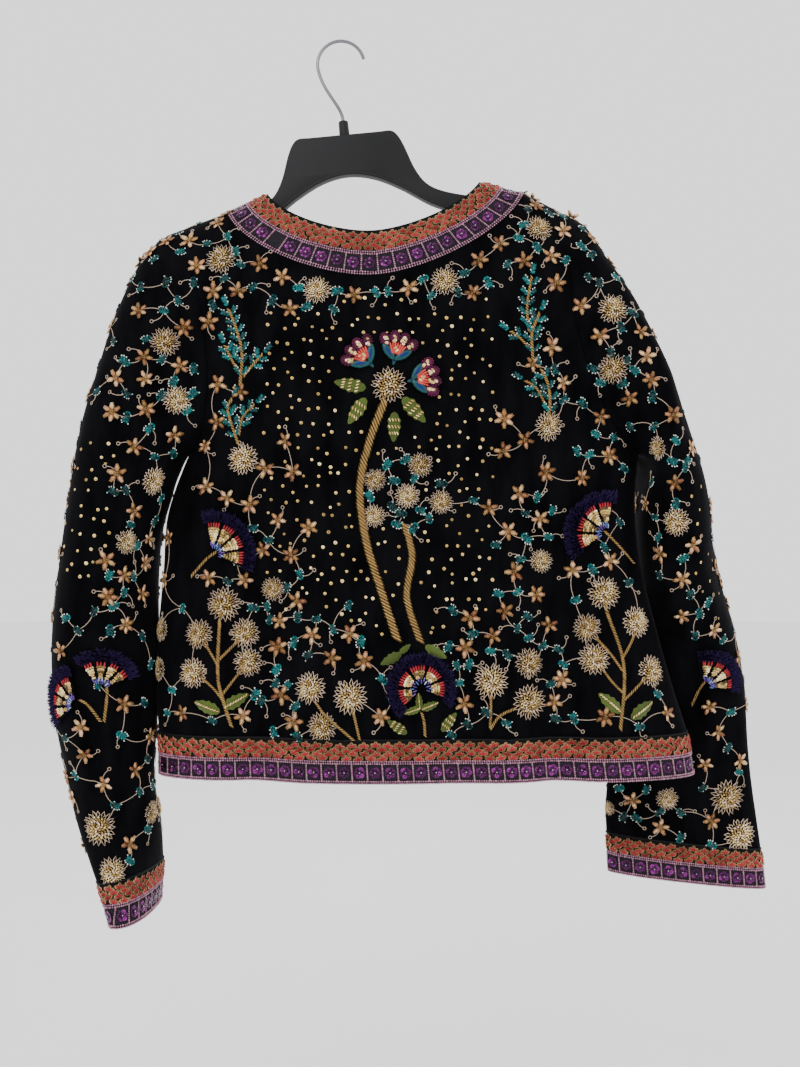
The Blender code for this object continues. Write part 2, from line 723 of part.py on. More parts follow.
def hook_line():
    """Centre line of the hook: the round bend from its tip, then the shank down into the stub."""
    centre = Vector((0, 0, WIRE_RADIUS - HOOK_RADIUS))
    points = []
    for step in range(HOOK_ARC_STEPS + 1):
        angle = blend(HOOK_TIP_ANGLE, HOOK_SHANK_ANGLE, step / HOOK_ARC_STEPS)
        points.append(centre + Vector((math.cos(angle), 0, math.sin(angle))) * HOOK_RADIUS)
    frame = Matrix.Rotation(-HANGER_TILT, 4, "Y")
    rod_up = (frame @ Vector((0, 0, 1))).normalized()
    mouth = HANGER_CENTRE + rod_up * (STUB_HEIGHT + SHANK_STRAIGHT)
    end = HANGER_CENTRE + rod_up * (STUB_HEIGHT - WIRE_SOCKET_DEPTH)
    start = points[-1]
    leave = Vector((-math.sin(HOOK_SHANK_ANGLE), 0, math.cos(HOOK_SHANK_ANGLE))) * SHANK_LEAVE
    arrive = rod_up * SHANK_ARRIVE
    for step in range(1, HOOK_SHANK_STEPS + 1):
        t = step / HOOK_SHANK_STEPS
        weights = ((1 - t) ** 3, 3 * t * (1 - t) ** 2, 3 * t * t * (1 - t), t**3)
        knots = (start, start + leave, mouth + arrive, mouth)
        points.append(sum((knot * weight for knot, weight in zip(knots, weights)), Vector()))
    return points + [end]


def build_hook(collection):
    """The steel wire hook."""
    points = hook_line()
    curve = bpy.data.curves.new("hanger_hook", "CURVE")
    curve.dimensions = "3D"
    curve.bevel_depth = WIRE_RADIUS * MM
    curve.bevel_resolution = 2
    curve.use_fill_caps = True
    spline = curve.splines.new("POLY")
    spline.points.add(len(points) - 1)
    for point, place in zip(spline.points, points):
        point.co = (*(place * MM), 1)
    hook = bpy.data.objects.new("hanger_hook", curve)
    curve.materials.append(finish_material("hanger_hook", "hook_steel"))
    collection.objects.link(hook)


def new_collection(name):
    """An empty collection in the scene."""
    collection = bpy.data.collections.new(name)
    bpy.context.scene.collection.children.link(collection)
    return collection


def main():
    """Clears the scene, then builds the jacket, its raised flowers and the hanger."""
    for old in list(bpy.data.objects):
        bpy.data.objects.remove(old)
    parts = new_collection("embroidered_jacket")
    cutters = new_collection("cutters")
    sides = build_jacket(parts)
    for row in FAN_FLOWERS:
        build_fan(row, sides, parts)
    build_hanger(parts, cutters)
    build_hook(parts)


main()
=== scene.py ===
import math
import random
from collections import namedtuple

import bmesh
import bpy
import numpy as np
from mathutils import Matrix, Vector
from mathutils.bvhtree import BVHTree


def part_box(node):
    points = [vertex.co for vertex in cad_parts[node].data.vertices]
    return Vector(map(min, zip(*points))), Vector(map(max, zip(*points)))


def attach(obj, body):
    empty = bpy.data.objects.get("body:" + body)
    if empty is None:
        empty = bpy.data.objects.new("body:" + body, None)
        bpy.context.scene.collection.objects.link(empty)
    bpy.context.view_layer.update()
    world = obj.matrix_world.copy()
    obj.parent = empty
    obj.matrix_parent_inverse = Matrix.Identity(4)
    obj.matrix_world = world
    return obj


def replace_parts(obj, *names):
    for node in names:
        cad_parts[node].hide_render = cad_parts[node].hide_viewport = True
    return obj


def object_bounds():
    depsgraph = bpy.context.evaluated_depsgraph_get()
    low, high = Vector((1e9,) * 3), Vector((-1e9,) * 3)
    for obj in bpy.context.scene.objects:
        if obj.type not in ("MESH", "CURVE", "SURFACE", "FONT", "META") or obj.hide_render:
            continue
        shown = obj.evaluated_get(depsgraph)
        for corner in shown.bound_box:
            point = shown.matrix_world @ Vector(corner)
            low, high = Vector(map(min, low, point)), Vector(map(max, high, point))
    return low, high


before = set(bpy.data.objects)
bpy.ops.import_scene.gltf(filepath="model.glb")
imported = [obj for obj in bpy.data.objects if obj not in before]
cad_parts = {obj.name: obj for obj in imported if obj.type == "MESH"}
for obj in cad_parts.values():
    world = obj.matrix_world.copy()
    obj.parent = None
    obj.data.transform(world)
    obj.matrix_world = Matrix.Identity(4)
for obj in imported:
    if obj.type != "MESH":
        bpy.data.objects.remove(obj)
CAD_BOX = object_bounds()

# Needlework is sized in millimetres, and places that were read off the photograph are in its pixels
MM = 0.001
PHOTO_WIDTH, PHOTO_HEIGHT = 800, 1067
PHOTO_FOCAL = 1210
SENSOR = 36.0
EYE = Vector((54.3, -1113, -451.3)) * MM
GRAZING = 0.12
SEED = 7
RIGHT = Vector((1, 0, 0))

# Cloth pieces
BODY_PANELS = ("back", "front_left", "front_right")
SLEEVES = ("sleeve_left", "sleeve_right")
PARTS = ("back", "left", "right")
BODY_BORDERS = tuple(f"{edge}_border_{part}" for edge in ("neck", "hem") for part in PARTS)
CUFFS = ("cuff_border_left", "cuff_border_right")
BORDERS = BODY_BORDERS + CUFFS
BODY_PIECES = BODY_PANELS + BODY_BORDERS
SLEEVE_PIECES = SLEEVES + CUFFS
WELD = 0.01 * MM
PAIR_BEND = math.radians(25)
PAIR_SKEW = math.radians(75)
WALL_EDGE_ANGLE = math.radians(72)
SOFT_EDGE_ANGLE = math.radians(34)
RIM_CORNER_ANGLE = math.radians(28)
SMOOTH_LEVELS = 2

# Across a border from its upper edge: where the ribbon ends, and where the net begins
RIBBON_SHARE = 0.07
NET_SHARE = 0.47


# Shader maths


class Value:
    """A shader socket: sums, products and the like on it add Math nodes."""

    def __init__(self, finish, socket):
        self.finish = finish
        self.socket = socket

    def math(self, operation, *values):
        """One Math node on these values."""
        return self.finish.node("ShaderNodeMath", {"operation": operation}, dict(enumerate(values)))

    def __add__(self, other):
        return self.math("ADD", self, other)

    def __radd__(self, other):
        return self.math("ADD", other, self)

    def __sub__(self, other):
        return self.math("SUBTRACT", self, other)

    def __rsub__(self, other):
        return self.math("SUBTRACT", other, self)

    def __mul__(self, other):
        return self.math("MULTIPLY", self, other)

    def __rmul__(self, other):
        return self.math("MULTIPLY", other, self)

    def above(self, other):
        """1 where this is more than the other value, else 0."""
        return self.math("GREATER_THAN", self, other)


class Finish:
    """A material under construction, with one Principled shader."""

    def __init__(self, name):
        self.material = bpy.data.materials.new(name)
        self.material.use_nodes = True
        self.tree = self.material.node_tree
        self.shader = self.tree.nodes["Principled BSDF"]

    def put(self, socket, value):
        """Links a value to a socket, or sets a number or colour on it."""
        if isinstance(value, Value):
            self.tree.links.new(value.socket, socket)
        elif isinstance(value, tuple) and len(value) == 3 and socket.type == "RGBA":
            socket.default_value = (*value, 1)
        else:
            socket.default_value = value

    def node(self, kind, settings=None, sockets=None, output=0):
        """Any node: its type, its settings, the values or links of its sockets, and the output wanted."""
        made = self.tree.nodes.new(kind)
        for name, value in (settings or {}).items():
            if name == "stops":
                self.set_stops(made.color_ramp, value)
            else:
                setattr(made, name, value)
        for name, value in (sockets or {}).items():
            self.put(made.inputs[name], value)
        return Value(self, made.outputs[output])

    @staticmethod
    def set_stops(ramp, stops):
        """Places a ramp's stops: position, colour."""
        while len(ramp.elements) < len(stops):
            ramp.elements.new(1)
        for element, (position, colour) in zip(ramp.elements, stops):
            element.position = position
            element.color = (*colour, 1)

    def place(self):
        """Object coordinates of the surface, in metres."""
        return self.node("ShaderNodeTexCoord", output="Object")

    def attribute(self, name):
        """A number stored on the piece's points."""
        return self.node("ShaderNodeAttribute", {"attribute_name": name}, output="Fac")

    def noise(self, scale, detail=2.0, stretch=(1, 1, 1)):
        """Soft noise with about `scale` lumps in a metre."""
        vector = self.node("ShaderNodeMapping", None, {"Vector": self.place(), "Scale": stretch})
        return self.node("ShaderNodeTexNoise", None, {"Vector": vector, "Scale": scale, "Detail": detail})

    def ramp(self, value, *stops):
        """A colour picked along a ramp."""
        return self.node("ShaderNodeValToRGB", {"stops": stops}, {"Fac": value})

    def mix(self, share, low, high):
        """A colour between two others."""
        return self.node("ShaderNodeMix", {"data_type": "RGBA"}, {0: share, 6: low, 7: high}, output=2)

    def bump(self, height, strength, distance):
        """A normal that follows a height."""
        sockets = {"Height": height, "Strength": strength, "Distance": distance}
        return self.node("ShaderNodeBump", None, sockets)

    def finished(self, **values):
        """Sets the shader's sockets by name, spaces written as underscores."""
        for name, value in values.items():
            self.put(self.shader.inputs[name.replace("_", " ")], value)
        return self.material


# Finishes


def velvet():
    """Black velvet: a deep nap that only lights up at a glancing angle."""
    finish = Finish("black_velvet")
    nap = finish.noise(55, 3, (1, 1, 0.35))
    pile = finish.noise(1500, 2)
    colour = finish.ramp(nap, (0.3, (0.0006, 0.0006, 0.0009)), (0.75, (0.0032, 0.0032, 0.0042)))
    return finish.finished(
        Base_Color=colour,
        Roughness=0.8 + 0.2 * pile,
        Normal=finish.bump(pile + 0.6 * nap, 0.35, 0.6 * MM),
        Sheen_Weight=0.04,
        Sheen_Roughness=0.35,
        Sheen_Tint=(0.5, 0.5, 0.58),
        Specular_IOR_Level=0.03,
    )


def lining():
    """Black satin of the inside."""
    finish = Finish("black_lining")
    weave = finish.noise(900, 1, (1, 1, 6))
    return finish.finished(
        Base_Color=finish.ramp(weave, (0.3, (0.006, 0.006, 0.007)), (0.8, (0.016, 0.016, 0.018))),
        Roughness=0.45 + 0.15 * weave,
        Normal=finish.bump(weave, 0.2, 0.2 * MM),
    )


def border_cloth():
    """Ground of the borders: a charcoal ribbon edge, a near-black strip, then a charcoal net."""
    finish = Finish("border_cloth")
    across = finish.attribute("across")
    weave = finish.noise(1400, 1)
    red = finish.ramp(weave, (0.3, (0.004, 0.003, 0.003)), (0.7, (0.016, 0.007, 0.005)))
    net = finish.ramp(weave, (0.35, (0.006, 0.005, 0.007)), (0.7, (0.024, 0.020, 0.025)))
    ribbon = finish.ramp(weave, (0.35, (0.002, 0.002, 0.002)), (0.7, (0.007, 0.007, 0.008)))
    ground = finish.mix(across.above(NET_SHARE), red, net)
    colour = finish.mix(across.above(RIBBON_SHARE), ribbon, ground)
    return finish.finished(
        Base_Color=colour,
        Roughness=0.6 + 0.3 * weave,
        Normal=finish.bump(weave, 0.4, 0.4 * MM),
        Specular_IOR_Level=0.06,
    )


TINT_PULL = 0.75
GRAIN_PULL = 0.5
SHADE_DROP = 0.12
FIRST_STOP = 0.05
STOPS_SPAN = 0.9


def beadwork(name, colours, metallic, roughness, grain=700, **constants):
    """Thread, wire, sequins or beads, with a colour picked by a stored tint and a fine grain."""
    finish = Finish(name)
    grains = finish.noise(grain, 2)
    shade = finish.attribute("tint") * TINT_PULL + grains * GRAIN_PULL - SHADE_DROP
    gaps = len(colours) - 1
    stops = [(FIRST_STOP + STOPS_SPAN * step / gaps, colour) for step, colour in enumerate(colours)]
    return finish.finished(
        Base_Color=finish.ramp(shade, *stops),
        Metallic=metallic,
        Roughness=roughness + 0.15 * grains,
        Normal=finish.bump(grains, 0.25, 0.2 * MM),
        **constants,
    )


def satin_stitch(name, dark, light):
    """Silk laid in close parallel stitches, along a leaf's own map."""
    finish = Finish(name)
    laid = finish.node("ShaderNodeUVMap", {"uv_map": "stitch"})
    sockets = {"Vector": laid, "Scale": 9.0, "Distortion": 1.5}
    threads = finish.node("ShaderNodeTexWave", {"bands_direction": "DIAGONAL"}, sockets)
    shade = threads * 0.6 + finish.attribute("tint") * 0.4
    return finish.finished(
        Base_Color=finish.ramp(shade, (0.1, dark), (0.9, light)),
        Roughness=0.5,
        Sheen_Weight=0.1,
        Specular_IOR_Level=0.15,
        Normal=finish.bump(threads, 0.6, 0.35 * MM),
    )


def hanger_plastic():
    """Satin black moulded plastic, slightly dusty."""
    finish = Finish("hanger_plastic")
    haze = finish.noise(18, 4)
    grain = finish.noise(2600, 1)
    return finish.finished(
        Base_Color=finish.ramp(haze, (0.3, (0.0035, 0.0035, 0.004)), (0.75, (0.008, 0.008, 0.009))),
        Roughness=0.42 + 0.16 * haze,
        Specular_IOR_Level=0.2,
        Normal=finish.bump(grain, 0.12, 0.1 * MM),
    )


def hook_chrome():
    """Plated wire, a little dulled in places."""
    finish = Finish("hook_chrome")
    marks = finish.noise(40, 2)
    return finish.finished(
        Base_Color=finish.ramp(marks, (0.2, (0.12, 0.12, 0.13)), (0.8, (0.24, 0.24, 0.26))),
        Metallic=1.0,
        Roughness=0.1 + 0.2 * marks,
    )


def studio_floor():
    """Pale matt floor."""
    finish = Finish("studio_floor")
    mottle = finish.noise(3, 3)
    return finish.finished(
        Base_Color=finish.ramp(mottle, (0.2, (0.89, 0.89, 0.89)), (0.8, (0.92, 0.92, 0.92))), Roughness=0.9
    )


SHOT_PLUM = (0.02, 0.006, 0.045)
SHOT_VIOLET = (0.11, 0.04, 0.30)
SHOT_BLUE = (0.03, 0.12, 0.28)
# The pale end of the shot bugles is a painted glint; plum, violet and blue are their own colours
SHOT_PALE = (0.42, 0.47, 0.62)
COPPERS = ((0.13, 0.055, 0.018), (0.44, 0.235, 0.09), (0.82, 0.55, 0.30))
ROSES = ((0.15, 0.055, 0.024), (0.50, 0.24, 0.11), (0.90, 0.58, 0.36))
# Gold sequins: the dark and mid stops are their own tone, and the pale end serves partly as a painted glint
PALE_GOLDS = ((0.07, 0.042, 0.011), (0.53, 0.34, 0.10), (0.98, 0.80, 0.43))
# The dark and mid stops are the purple sequins' own colour; the bright magenta end is a painted glint
PURPLES = ((0.012, 0.002, 0.011), (0.045, 0.005, 0.042), (0.20, 0.02, 0.18))
TEALS = ((0.0, 0.008, 0.009), (0.0, 0.045, 0.048), (0.0, 0.15, 0.15))
SHOTS = (SHOT_PLUM, SHOT_VIOLET, SHOT_BLUE, SHOT_PALE)
MATT = {"Specular_IOR_Level": 0.12}
FINISHES = {
    "velvet": velvet(),
    "lining": lining(),
    "border_cloth": border_cloth(),
    "champagne": beadwork("champagne_wire", ((0.30, 0.20, 0.13), (0.92, 0.70, 0.50)), 0.15, 0.3),
    "copper": beadwork("copper_petals", COPPERS, 0.55, 0.2),
    "rose": beadwork("rose_petals", ROSES, 0.55, 0.2),
    "gold": beadwork("gold_bullion", ((0.07, 0.036, 0.009), (0.48, 0.30, 0.10)), 0.75, 0.28),
    "pale_gold": beadwork("gold_sequins", PALE_GOLDS, 0.6, 0.2),
    "teal": beadwork("teal_glass", TEALS, 0.1, 0.25, Specular_IOR_Level=0.3),
    "silver": beadwork("silver_beads", ((0.36, 0.42, 0.38), (0.84, 0.87, 0.78)), 0.4, 0.2),
    "cord": beadwork("beige_cord", ((0.19, 0.13, 0.09), (0.48, 0.37, 0.28)), 0.1, 0.5),
    "coral": beadwork("coral_thread", ((0.11, 0.006, 0.008), (0.40, 0.034, 0.042)), 0.0, 0.45, **MATT),
    "heart": beadwork("heart_thread", ((0.20, 0.014, 0.012), (0.60, 0.075, 0.06)), 0.0, 0.45, **MATT),
    "olive_gold": beadwork("olive_gold_thread", ((0.13, 0.075, 0.03), (0.46, 0.31, 0.15)), 0.4, 0.35),
    "purple": beadwork("purple_sequins", PURPLES, 0.75, 0.1),
    "mauve": beadwork("mauve_beads", ((0.14, 0.05, 0.095), (0.44, 0.21, 0.29)), 0.1, 0.3),
    "bugle": beadwork("shot_bugles", SHOTS, 0.5, 0.14, Coat_Weight=0.3),
    "pile": beadwork("navy_pile", ((0.004, 0.002, 0.010), (0.027, 0.014, 0.075)), 0.0, 0.8, 400, **MATT),
    "plum": beadwork("plum_thread", ((0.020, 0.002, 0.010), (0.095, 0.008, 0.042)), 0.0, 0.45, **MATT),
    "blue": beadwork("royal_blue_thread", ((0.003, 0.008, 0.06), (0.010, 0.03, 0.20)), 0.1, 0.4, **MATT),
    "ribbon": beadwork("charcoal_ribbon", ((0.002, 0.002, 0.002), (0.007, 0.007, 0.008)), 0.0, 0.6, **MATT),
    "olive_satin": satin_stitch("olive_satin", (0.022, 0.036, 0.005), (0.105, 0.150, 0.022)),
    "plastic": hanger_plastic(),
    "chrome": hook_chrome(),
    "floor": studio_floor(),
}


# Meshes


def linked(name, data):
    """A new object in the scene."""
    made = bpy.data.objects.new(name, data)
    bpy.context.scene.collection.objects.link(made)
    return made


def mesh_of(name, bm):
    """The mesh of a bmesh, which is freed."""
    mesh = bpy.data.meshes.new(name)
    bm.to_mesh(mesh)
    bm.free()
    return mesh


def evaluated_mesh(source):
    """The mesh of an object with its modifiers or bevel applied. The object is removed."""
    graph = bpy.context.evaluated_depsgraph_get()
    mesh = bpy.data.meshes.new_from_object(source.evaluated_get(graph))
    bpy.data.objects.remove(source)
    return mesh


def points_of(mesh):
    """The places of a mesh's points."""
    return np.array([vert.co for vert in mesh.vertices])


def store(mesh, name, values):
    """Keeps a number on each point of a mesh."""
    kept = mesh.attributes.get(name) or mesh.attributes.new(name, "FLOAT", "POINT")
    kept.data.foreach_set("value", np.asarray(values, np.float32))


def welded(node):
    """A bmesh of a CAD node, with its loose triangles welded."""
    bm = bmesh.new()
    bm.from_mesh(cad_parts[node].data)
    bmesh.ops.remove_doubles(bm, verts=bm.verts, dist=WELD)
    return bm


def piece(name, slot, mesh, *finishes):
    """A piece of the jacket or its hanger, with its finishes, riding on the body. Its slot is not used."""
    made = linked(name, mesh)
    for finish in finishes:
        mesh.materials.append(FINISHES[finish])
    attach(made, "root")
    return made


# Cloth


def paired_copy(node):
    """A welded bmesh of a CAD node, with its triangles joined to quads where they pair up."""
    bm = welded(node)
    angles = {"angle_face_threshold": PAIR_BEND, "angle_shape_threshold": PAIR_SKEW}
    bmesh.ops.join_triangles(bm, faces=bm.faces, **angles)
    return bm


def smooth_region(start, left):
    """The faces that a face reaches over soft edges, taken out of those that are left."""
    region, rim = set(), [start]
    while rim:
        face = rim.pop()
        region.add(face)
        soft = [edge for edge in face.edges if edge.calc_face_angle(math.pi) < WALL_EDGE_ANGLE]
        found = left.intersection(other for edge in soft for other in edge.link_faces)
        left -= found
        rim += found
    return region


def outer_faces(bm, inside):
    """The faces on the outside of a wall: the smooth region that looks most away from a point inside."""
    left = set(bm.faces)
    regions = []
    while left:
        regions.append(smooth_region(left.pop(), left))

    def looks_out(region):
        return sum(f.calc_area() * f.normal.dot(f.calc_center_median() - inside) for f in region)

    return max(regions, key=looks_out)


def inside_point(bm, tube):
    """A point that a piece's outside looks away from."""
    middle = sum((vert.co for vert in bm.verts), Vector()) / len(bm.verts)
    return middle if tube else Vector((middle.x, 0, middle.z))


def keep_edges(bm):
    """Creases the edges and corners of a wall, so that smoothing keeps them."""
    crease = bm.edges.layers.float.new("crease_edge")
    corner = bm.verts.layers.float.new("crease_vert")
    for edge in bm.edges:
        bend = edge.calc_face_angle(math.pi) - SOFT_EDGE_ANGLE
        edge[crease] = min(1.0, max(0.0, bend / (WALL_EDGE_ANGLE - SOFT_EDGE_ANGLE)))
    for vert in bm.verts:
        rim = [edge.other_vert(vert).co - vert.co for edge in vert.link_edges if edge[crease] == 1]
        if len(rim) == 2 and rim[0].angle(-rim[1]) > RIM_CORNER_ANGLE:
            vert[corner] = 1.0


def smoothed(name, bm):
    """The mesh of a bmesh with Subdivision Surface applied, its wall's edges kept."""
    keep_edges(bm)
    for face in bm.faces:
        face.smooth = True
    coarse = mesh_of(name + "_coarse", bm)
    source = linked(name + "_coarse", coarse)
    modifier = source.modifiers.new("smooth", "SUBSURF")
    modifier.levels = modifier.render_levels = SMOOTH_LEVELS
    mesh = evaluated_mesh(source)
    bpy.data.meshes.remove(coarse)
    return mesh


class Cloth:
    """The outside of every cloth piece, to lay needlework on."""

    def __init__(self):
        self.trees = {}

    def add(self, name, mesh):
        """Keeps a search tree of a mesh's outer faces, which have its first material."""
        points = [vert.co for vert in mesh.vertices]
        faces = [tuple(face.vertices) for face in mesh.polygons if face.material_index == 0]
        self.trees[name] = BVHTree.FromPolygons(points, faces)

    def seen(self, origin, direction):
        """Name, point and normal of the first piece that a line of sight meets, unless it grazes it."""
        best = None
        for name, tree in self.trees.items():
            point, normal, _, distance = tree.ray_cast(origin, direction)
            if point is not None and (best is None or distance < best[0]):
                best = (distance, name, point, normal)
        if best is None or best[3].dot(direction) > -GRAZING:
            return None
        return best[1:]

    def met(self, name, origin, direction):
        """The point where a line meets one piece, or None, and its normal."""
        return self.trees[name].ray_cast(origin, direction)[:2]

    def nearest(self, name, point):
        """The nearest point of a piece's outside, and its normal."""
        return self.trees[name].find_nearest(point)[:2]


CLOTH = Cloth()
EDGES = {}


def cloth_piece(node):
    """One cloth piece of the jacket, smooth, on its solid's form."""
    bm = paired_copy(node)
    outer = outer_faces(bm, inside_point(bm, node in SLEEVE_PIECES))
    for face in bm.faces:
        face.material_index = 0 if face in outer else 1
    if node in BORDERS:
        EDGES[node] = strip_edges(outer)
    mesh = smoothed(node, bm)
    CLOTH.add(node, mesh)
    cloth, slot = "velvet", "velvet"
    if node in BORDERS:
        store_across(mesh, *EDGES[node])
        cloth, slot = "border_cloth", "border"
    made = piece(node + "_cloth", slot, mesh, cloth, "lining")
    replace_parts(made, node)
    return made


# Creases

# Panel, facing (-1 behind, 0 beside, 1 in front), start x and z, end x and z, half width, height
CREASES = (
    ("back", -1, -86, -318, -56, -455, 15, -3.2),
    ("back", -1, -66, -300, -34, -412, 12, 2.4),
    ("back", -1, -38, -462, -54, -700, 18, -3.6),
    ("back", -1, 2, -525, -5, -712, 15, 2.8),
    ("back", -1, 112, -420, 128, -672, 17, -3.2),
    ("back", -1, 152, -566, 160, -712, 14, 2.6),
    ("back", -1, 210, -316, 184, -446, 14, -3.4),
    ("back", -1, 224, -352, 205, -540, 12, 2.2),
    ("back", -1, 196, -488, 205, -700, 16, -2.8),
    ("back", -1, -62, -206, -22, -262, 10, -1.8),
    ("back", -1, 172, -214, 126, -268, 11, -1.8),
    ("front_left", 1, -84, -320, -48, -446, 15, -3.2),
    ("front_left", 1, -64, -300, -30, -388, 11, 2.2),
    ("front_left", 1, -44, -430, -58, -690, 17, -3.4),
    ("front_left", 1, 8, -372, 20, -560, 13, 2.4),
    ("front_right", 1, 208, -320, 178, -452, 14, -3.2),
    ("front_right", 1, 164, -428, 176, -684, 17, -3.0),
    ("front_right", 1, 214, -390, 204, -590, 12, 2.2),
    ("front_right", 1, 112, -384, 102, -548, 13, 2.2),
    ("sleeve_left", -1, -178, -300, -200, -436, 12, -2.6),
    ("sleeve_left", -1, -200, -268, -216, -380, 11, 2.0),
    ("sleeve_left", -1, -236, -462, -192, -494, 9, -2.4),
    ("sleeve_left", -1, -240, -508, -204, -522, 8, -1.8),
    ("sleeve_left", -1, -236, -540, -196, -566, 10, 2.0),
    ("sleeve_left", -1, -226, -640, -200, -702, 9, -2.0),
    ("sleeve_left", 1, -176, -304, -196, -420, 12, -2.4),
    ("sleeve_left", 1, -238, -470, -196, -488, 9, -2.2),
    ("sleeve_left", 1, -238, -520, -200, -552, 9, 2.0),
    ("sleeve_left", 1, -222, -620, -198, -690, 9, -2.0),
    ("sleeve_right", -1, 280, -326, 302, -452, 12, -2.6),
    ("sleeve_right", -1, 260, -296, 282, -408, 10, 2.0),
    ("sleeve_right", -1, 312, -486, 356, -506, 9, -2.4),
    ("sleeve_right", -1, 308, -528, 346, -538, 8, -1.8),
    ("sleeve_right", -1, 316, -566, 330, -700, 12, -2.4),
    ("sleeve_right", -1, 352, -604, 362, -742, 11, 2.2),
    ("sleeve_right", 1, 276, -330, 300, -440, 12, -2.4),
    ("sleeve_right", 1, 306, -496, 350, -520, 9, -2.2),
    ("sleeve_right", 1, 310, -560, 322, -690, 11, -2.2),
    ("sleeve_right", 1, 346, -600, 356, -720, 11, 2.0),
    ("sleeve_left", 0, -150, -372, -164, -452, 22, 3.8),
    ("sleeve_left", 0, -166, -506, -168, -640, 22, 3.4),
    ("back", 0, -150, -372, -164, -452, 22, 3.8),
    ("back", 0, -166, -506, -168, -626, 22, 3.4),
    ("sleeve_right", 0, 199, -165, 233, -191, 20, -2.6),
)
CREASE_STEPS = 24
CREASE_ASIDE = 90
FADE_START = 0.06
FADE_POWER = 0.8

Crease = namedtuple("Crease", "line out half_width height pieces")
CREASE_LINES = []


def even_shares(steps):
    """Even shares of a length, from 0 to 1."""
    return [step / steps for step in range(steps + 1)]


def gaps_between(places, line):
    """How far each place is from each point of a line."""
    return np.linalg.norm(places[:, None] - line[None], axis=2)


def crease_on_cloth(panel, facing, start_x, start_z, end_x, end_z, half_width, height):
    """A crease's line on its panel and the way out. A swelling at the side moves its own part alone."""
    ends = ((start_x, start_z), (end_x, end_z))
    start, end = (Vector((x, facing * CREASE_ASIDE, z)) * MM for x, z in ends)
    line = [CLOTH.nearest(panel, start.lerp(end, share))[0] for share in even_shares(CREASE_STEPS)]
    out = CLOTH.nearest(panel, start.lerp(end, 0.5))[1]
    pieces = BODY_PIECES + SLEEVE_PIECES
    if facing == 0:
        out.y = 0
    if facing == 0 and height > 0:
        pieces = SLEEVE_PIECES if panel in SLEEVES else BODY_PIECES
    return Crease(np.array(line), np.array(out.normalized()), half_width * MM, height * MM, pieces)


def press_creases(mesh, node):
    """Moves the points of a mesh on a cloth piece by every crease near them, less to its sides and ends."""
    places = points_of(mesh)
    moves = np.zeros_like(places)
    fade = np.sin(np.linspace(FADE_START, 1 - FADE_START, CREASE_STEPS + 1) * math.pi) ** FADE_POWER
    for crease in CREASE_LINES:
        if node not in crease.pieces:
            continue
        low = crease.line.min(0) - crease.half_width
        high = crease.line.max(0) + crease.half_width
        near = np.flatnonzero(((places > low) & (places < high)).all(1))
        if near.size == 0:
            continue
        gaps = gaps_between(places[near], crease.line)
        share = np.minimum(gaps.min(1) / crease.half_width, 1)
        amount = crease.height * fade[gaps.argmin(1)] * (1 + np.cos(math.pi * share)) / 2
        moves[near] += amount[:, None] * crease.out
    mesh.vertices.foreach_set("co", (places + moves).astype(np.float32).ravel())


def crease_cloth(pieces):
    """Presses the creases into the cloth pieces, and keeps them for what lies on the cloth."""
    CREASE_LINES.extend(crease_on_cloth(*row) for row in CREASES)
    for node, made in pieces.items():
        press_creases(made.data, node)
        CLOTH.add(node, made.data)


# Border strips

EDGE_STEPS = 80
TINY = 1e-9


def rim_loops(faces):
    """The closed loops of points round a set of faces."""
    rim = {}
    for face in faces:
        for edge in face.edges:
            if sum(other in faces for other in edge.link_faces) == 1:
                for vert in edge.verts:
                    rim.setdefault(vert, []).append(edge.other_vert(vert))
    loops = []
    while rim:
        start = next(iter(rim))
        loop, last, here = [start], None, start
        while True:
            onward = [vert for vert in rim[here] if vert is not last]
            last, here = here, onward[0]
            if here is start:
                break
            loop.append(here)
        for vert in loop:
            del rim[vert]
        loops.append([vert.co.copy() for vert in loop])
    return loops


def turn_at(loop, index):
    """How sharply a loop turns at a point."""
    before, here, after = loop[index - 1], loop[index], loop[(index + 1) % len(loop)]
    return (here - before).angle(after - here)


def long_sides(loop):
    """The two long sides of a four-cornered loop, both from low X to high X."""
    corners = sorted(sorted(range(len(loop)), key=lambda index: -turn_at(loop, index))[:4])
    sides = []
    for first, last in zip(corners, corners[1:] + [corners[0] + len(loop)]):
        sides.append([loop[index % len(loop)] for index in range(first, last + 1)])
    sides = sorted(sides, key=run_length)[-2:]
    return [side if side[0].x < side[-1].x else side[::-1] for side in sides]


def run_length(points):
    """Length of a line of points."""
    return sum((b - a).length for a, b in zip(points, points[1:]))


def matched_rings(loops):
    """Closed rings that start at their lowest X and run the same way, with their ends repeated."""
    rings = []
    for loop in loops:
        start = min(range(len(loop)), key=lambda index: loop[index].x)
        ring = loop[start:] + loop[:start]
        if ring[1].y > ring[-1].y:
            ring = [ring[0]] + ring[:0:-1]
        rings.append(ring + ring[:1])
    return rings


def strip_edges(outer):
    """A border's upper and lower edge."""
    loops = rim_loops(outer)
    sides = matched_rings(loops) if len(loops) == 2 else long_sides(loops[0])
    return sorted(sides, key=lambda side: -sum(point.z for point in side) / len(side))


def along_line(points, share):
    """The point at a share of a line's length."""
    left = share * run_length(points)
    for a, b in zip(points, points[1:]):
        step = (b - a).length
        if left <= step:
            return a.lerp(b, left / max(step, TINY))
        left -= step
    return points[-1].copy()


def gap_to_edge(places, edge):
    """How far each place is from an edge."""
    line = np.array([along_line(edge, share) for share in even_shares(EDGE_STEPS)])
    return gaps_between(places, line).min(1)


def store_across(mesh, upper, lower):
    """Stores each point's place across a border: 0 at its upper edge, 1 at its lower edge."""
    places = points_of(mesh)
    to_top, to_low = gap_to_edge(places, upper), gap_to_edge(places, lower)
    store(mesh, "across", to_top / (to_top + to_low))


# Needlework

CORD_TINT = 0.6
WIRE_RISE = 1.3
SEQUIN_HOLE = 0.22
SEQUIN_CUP = 0.28
PETAL_CURVE = 1.5


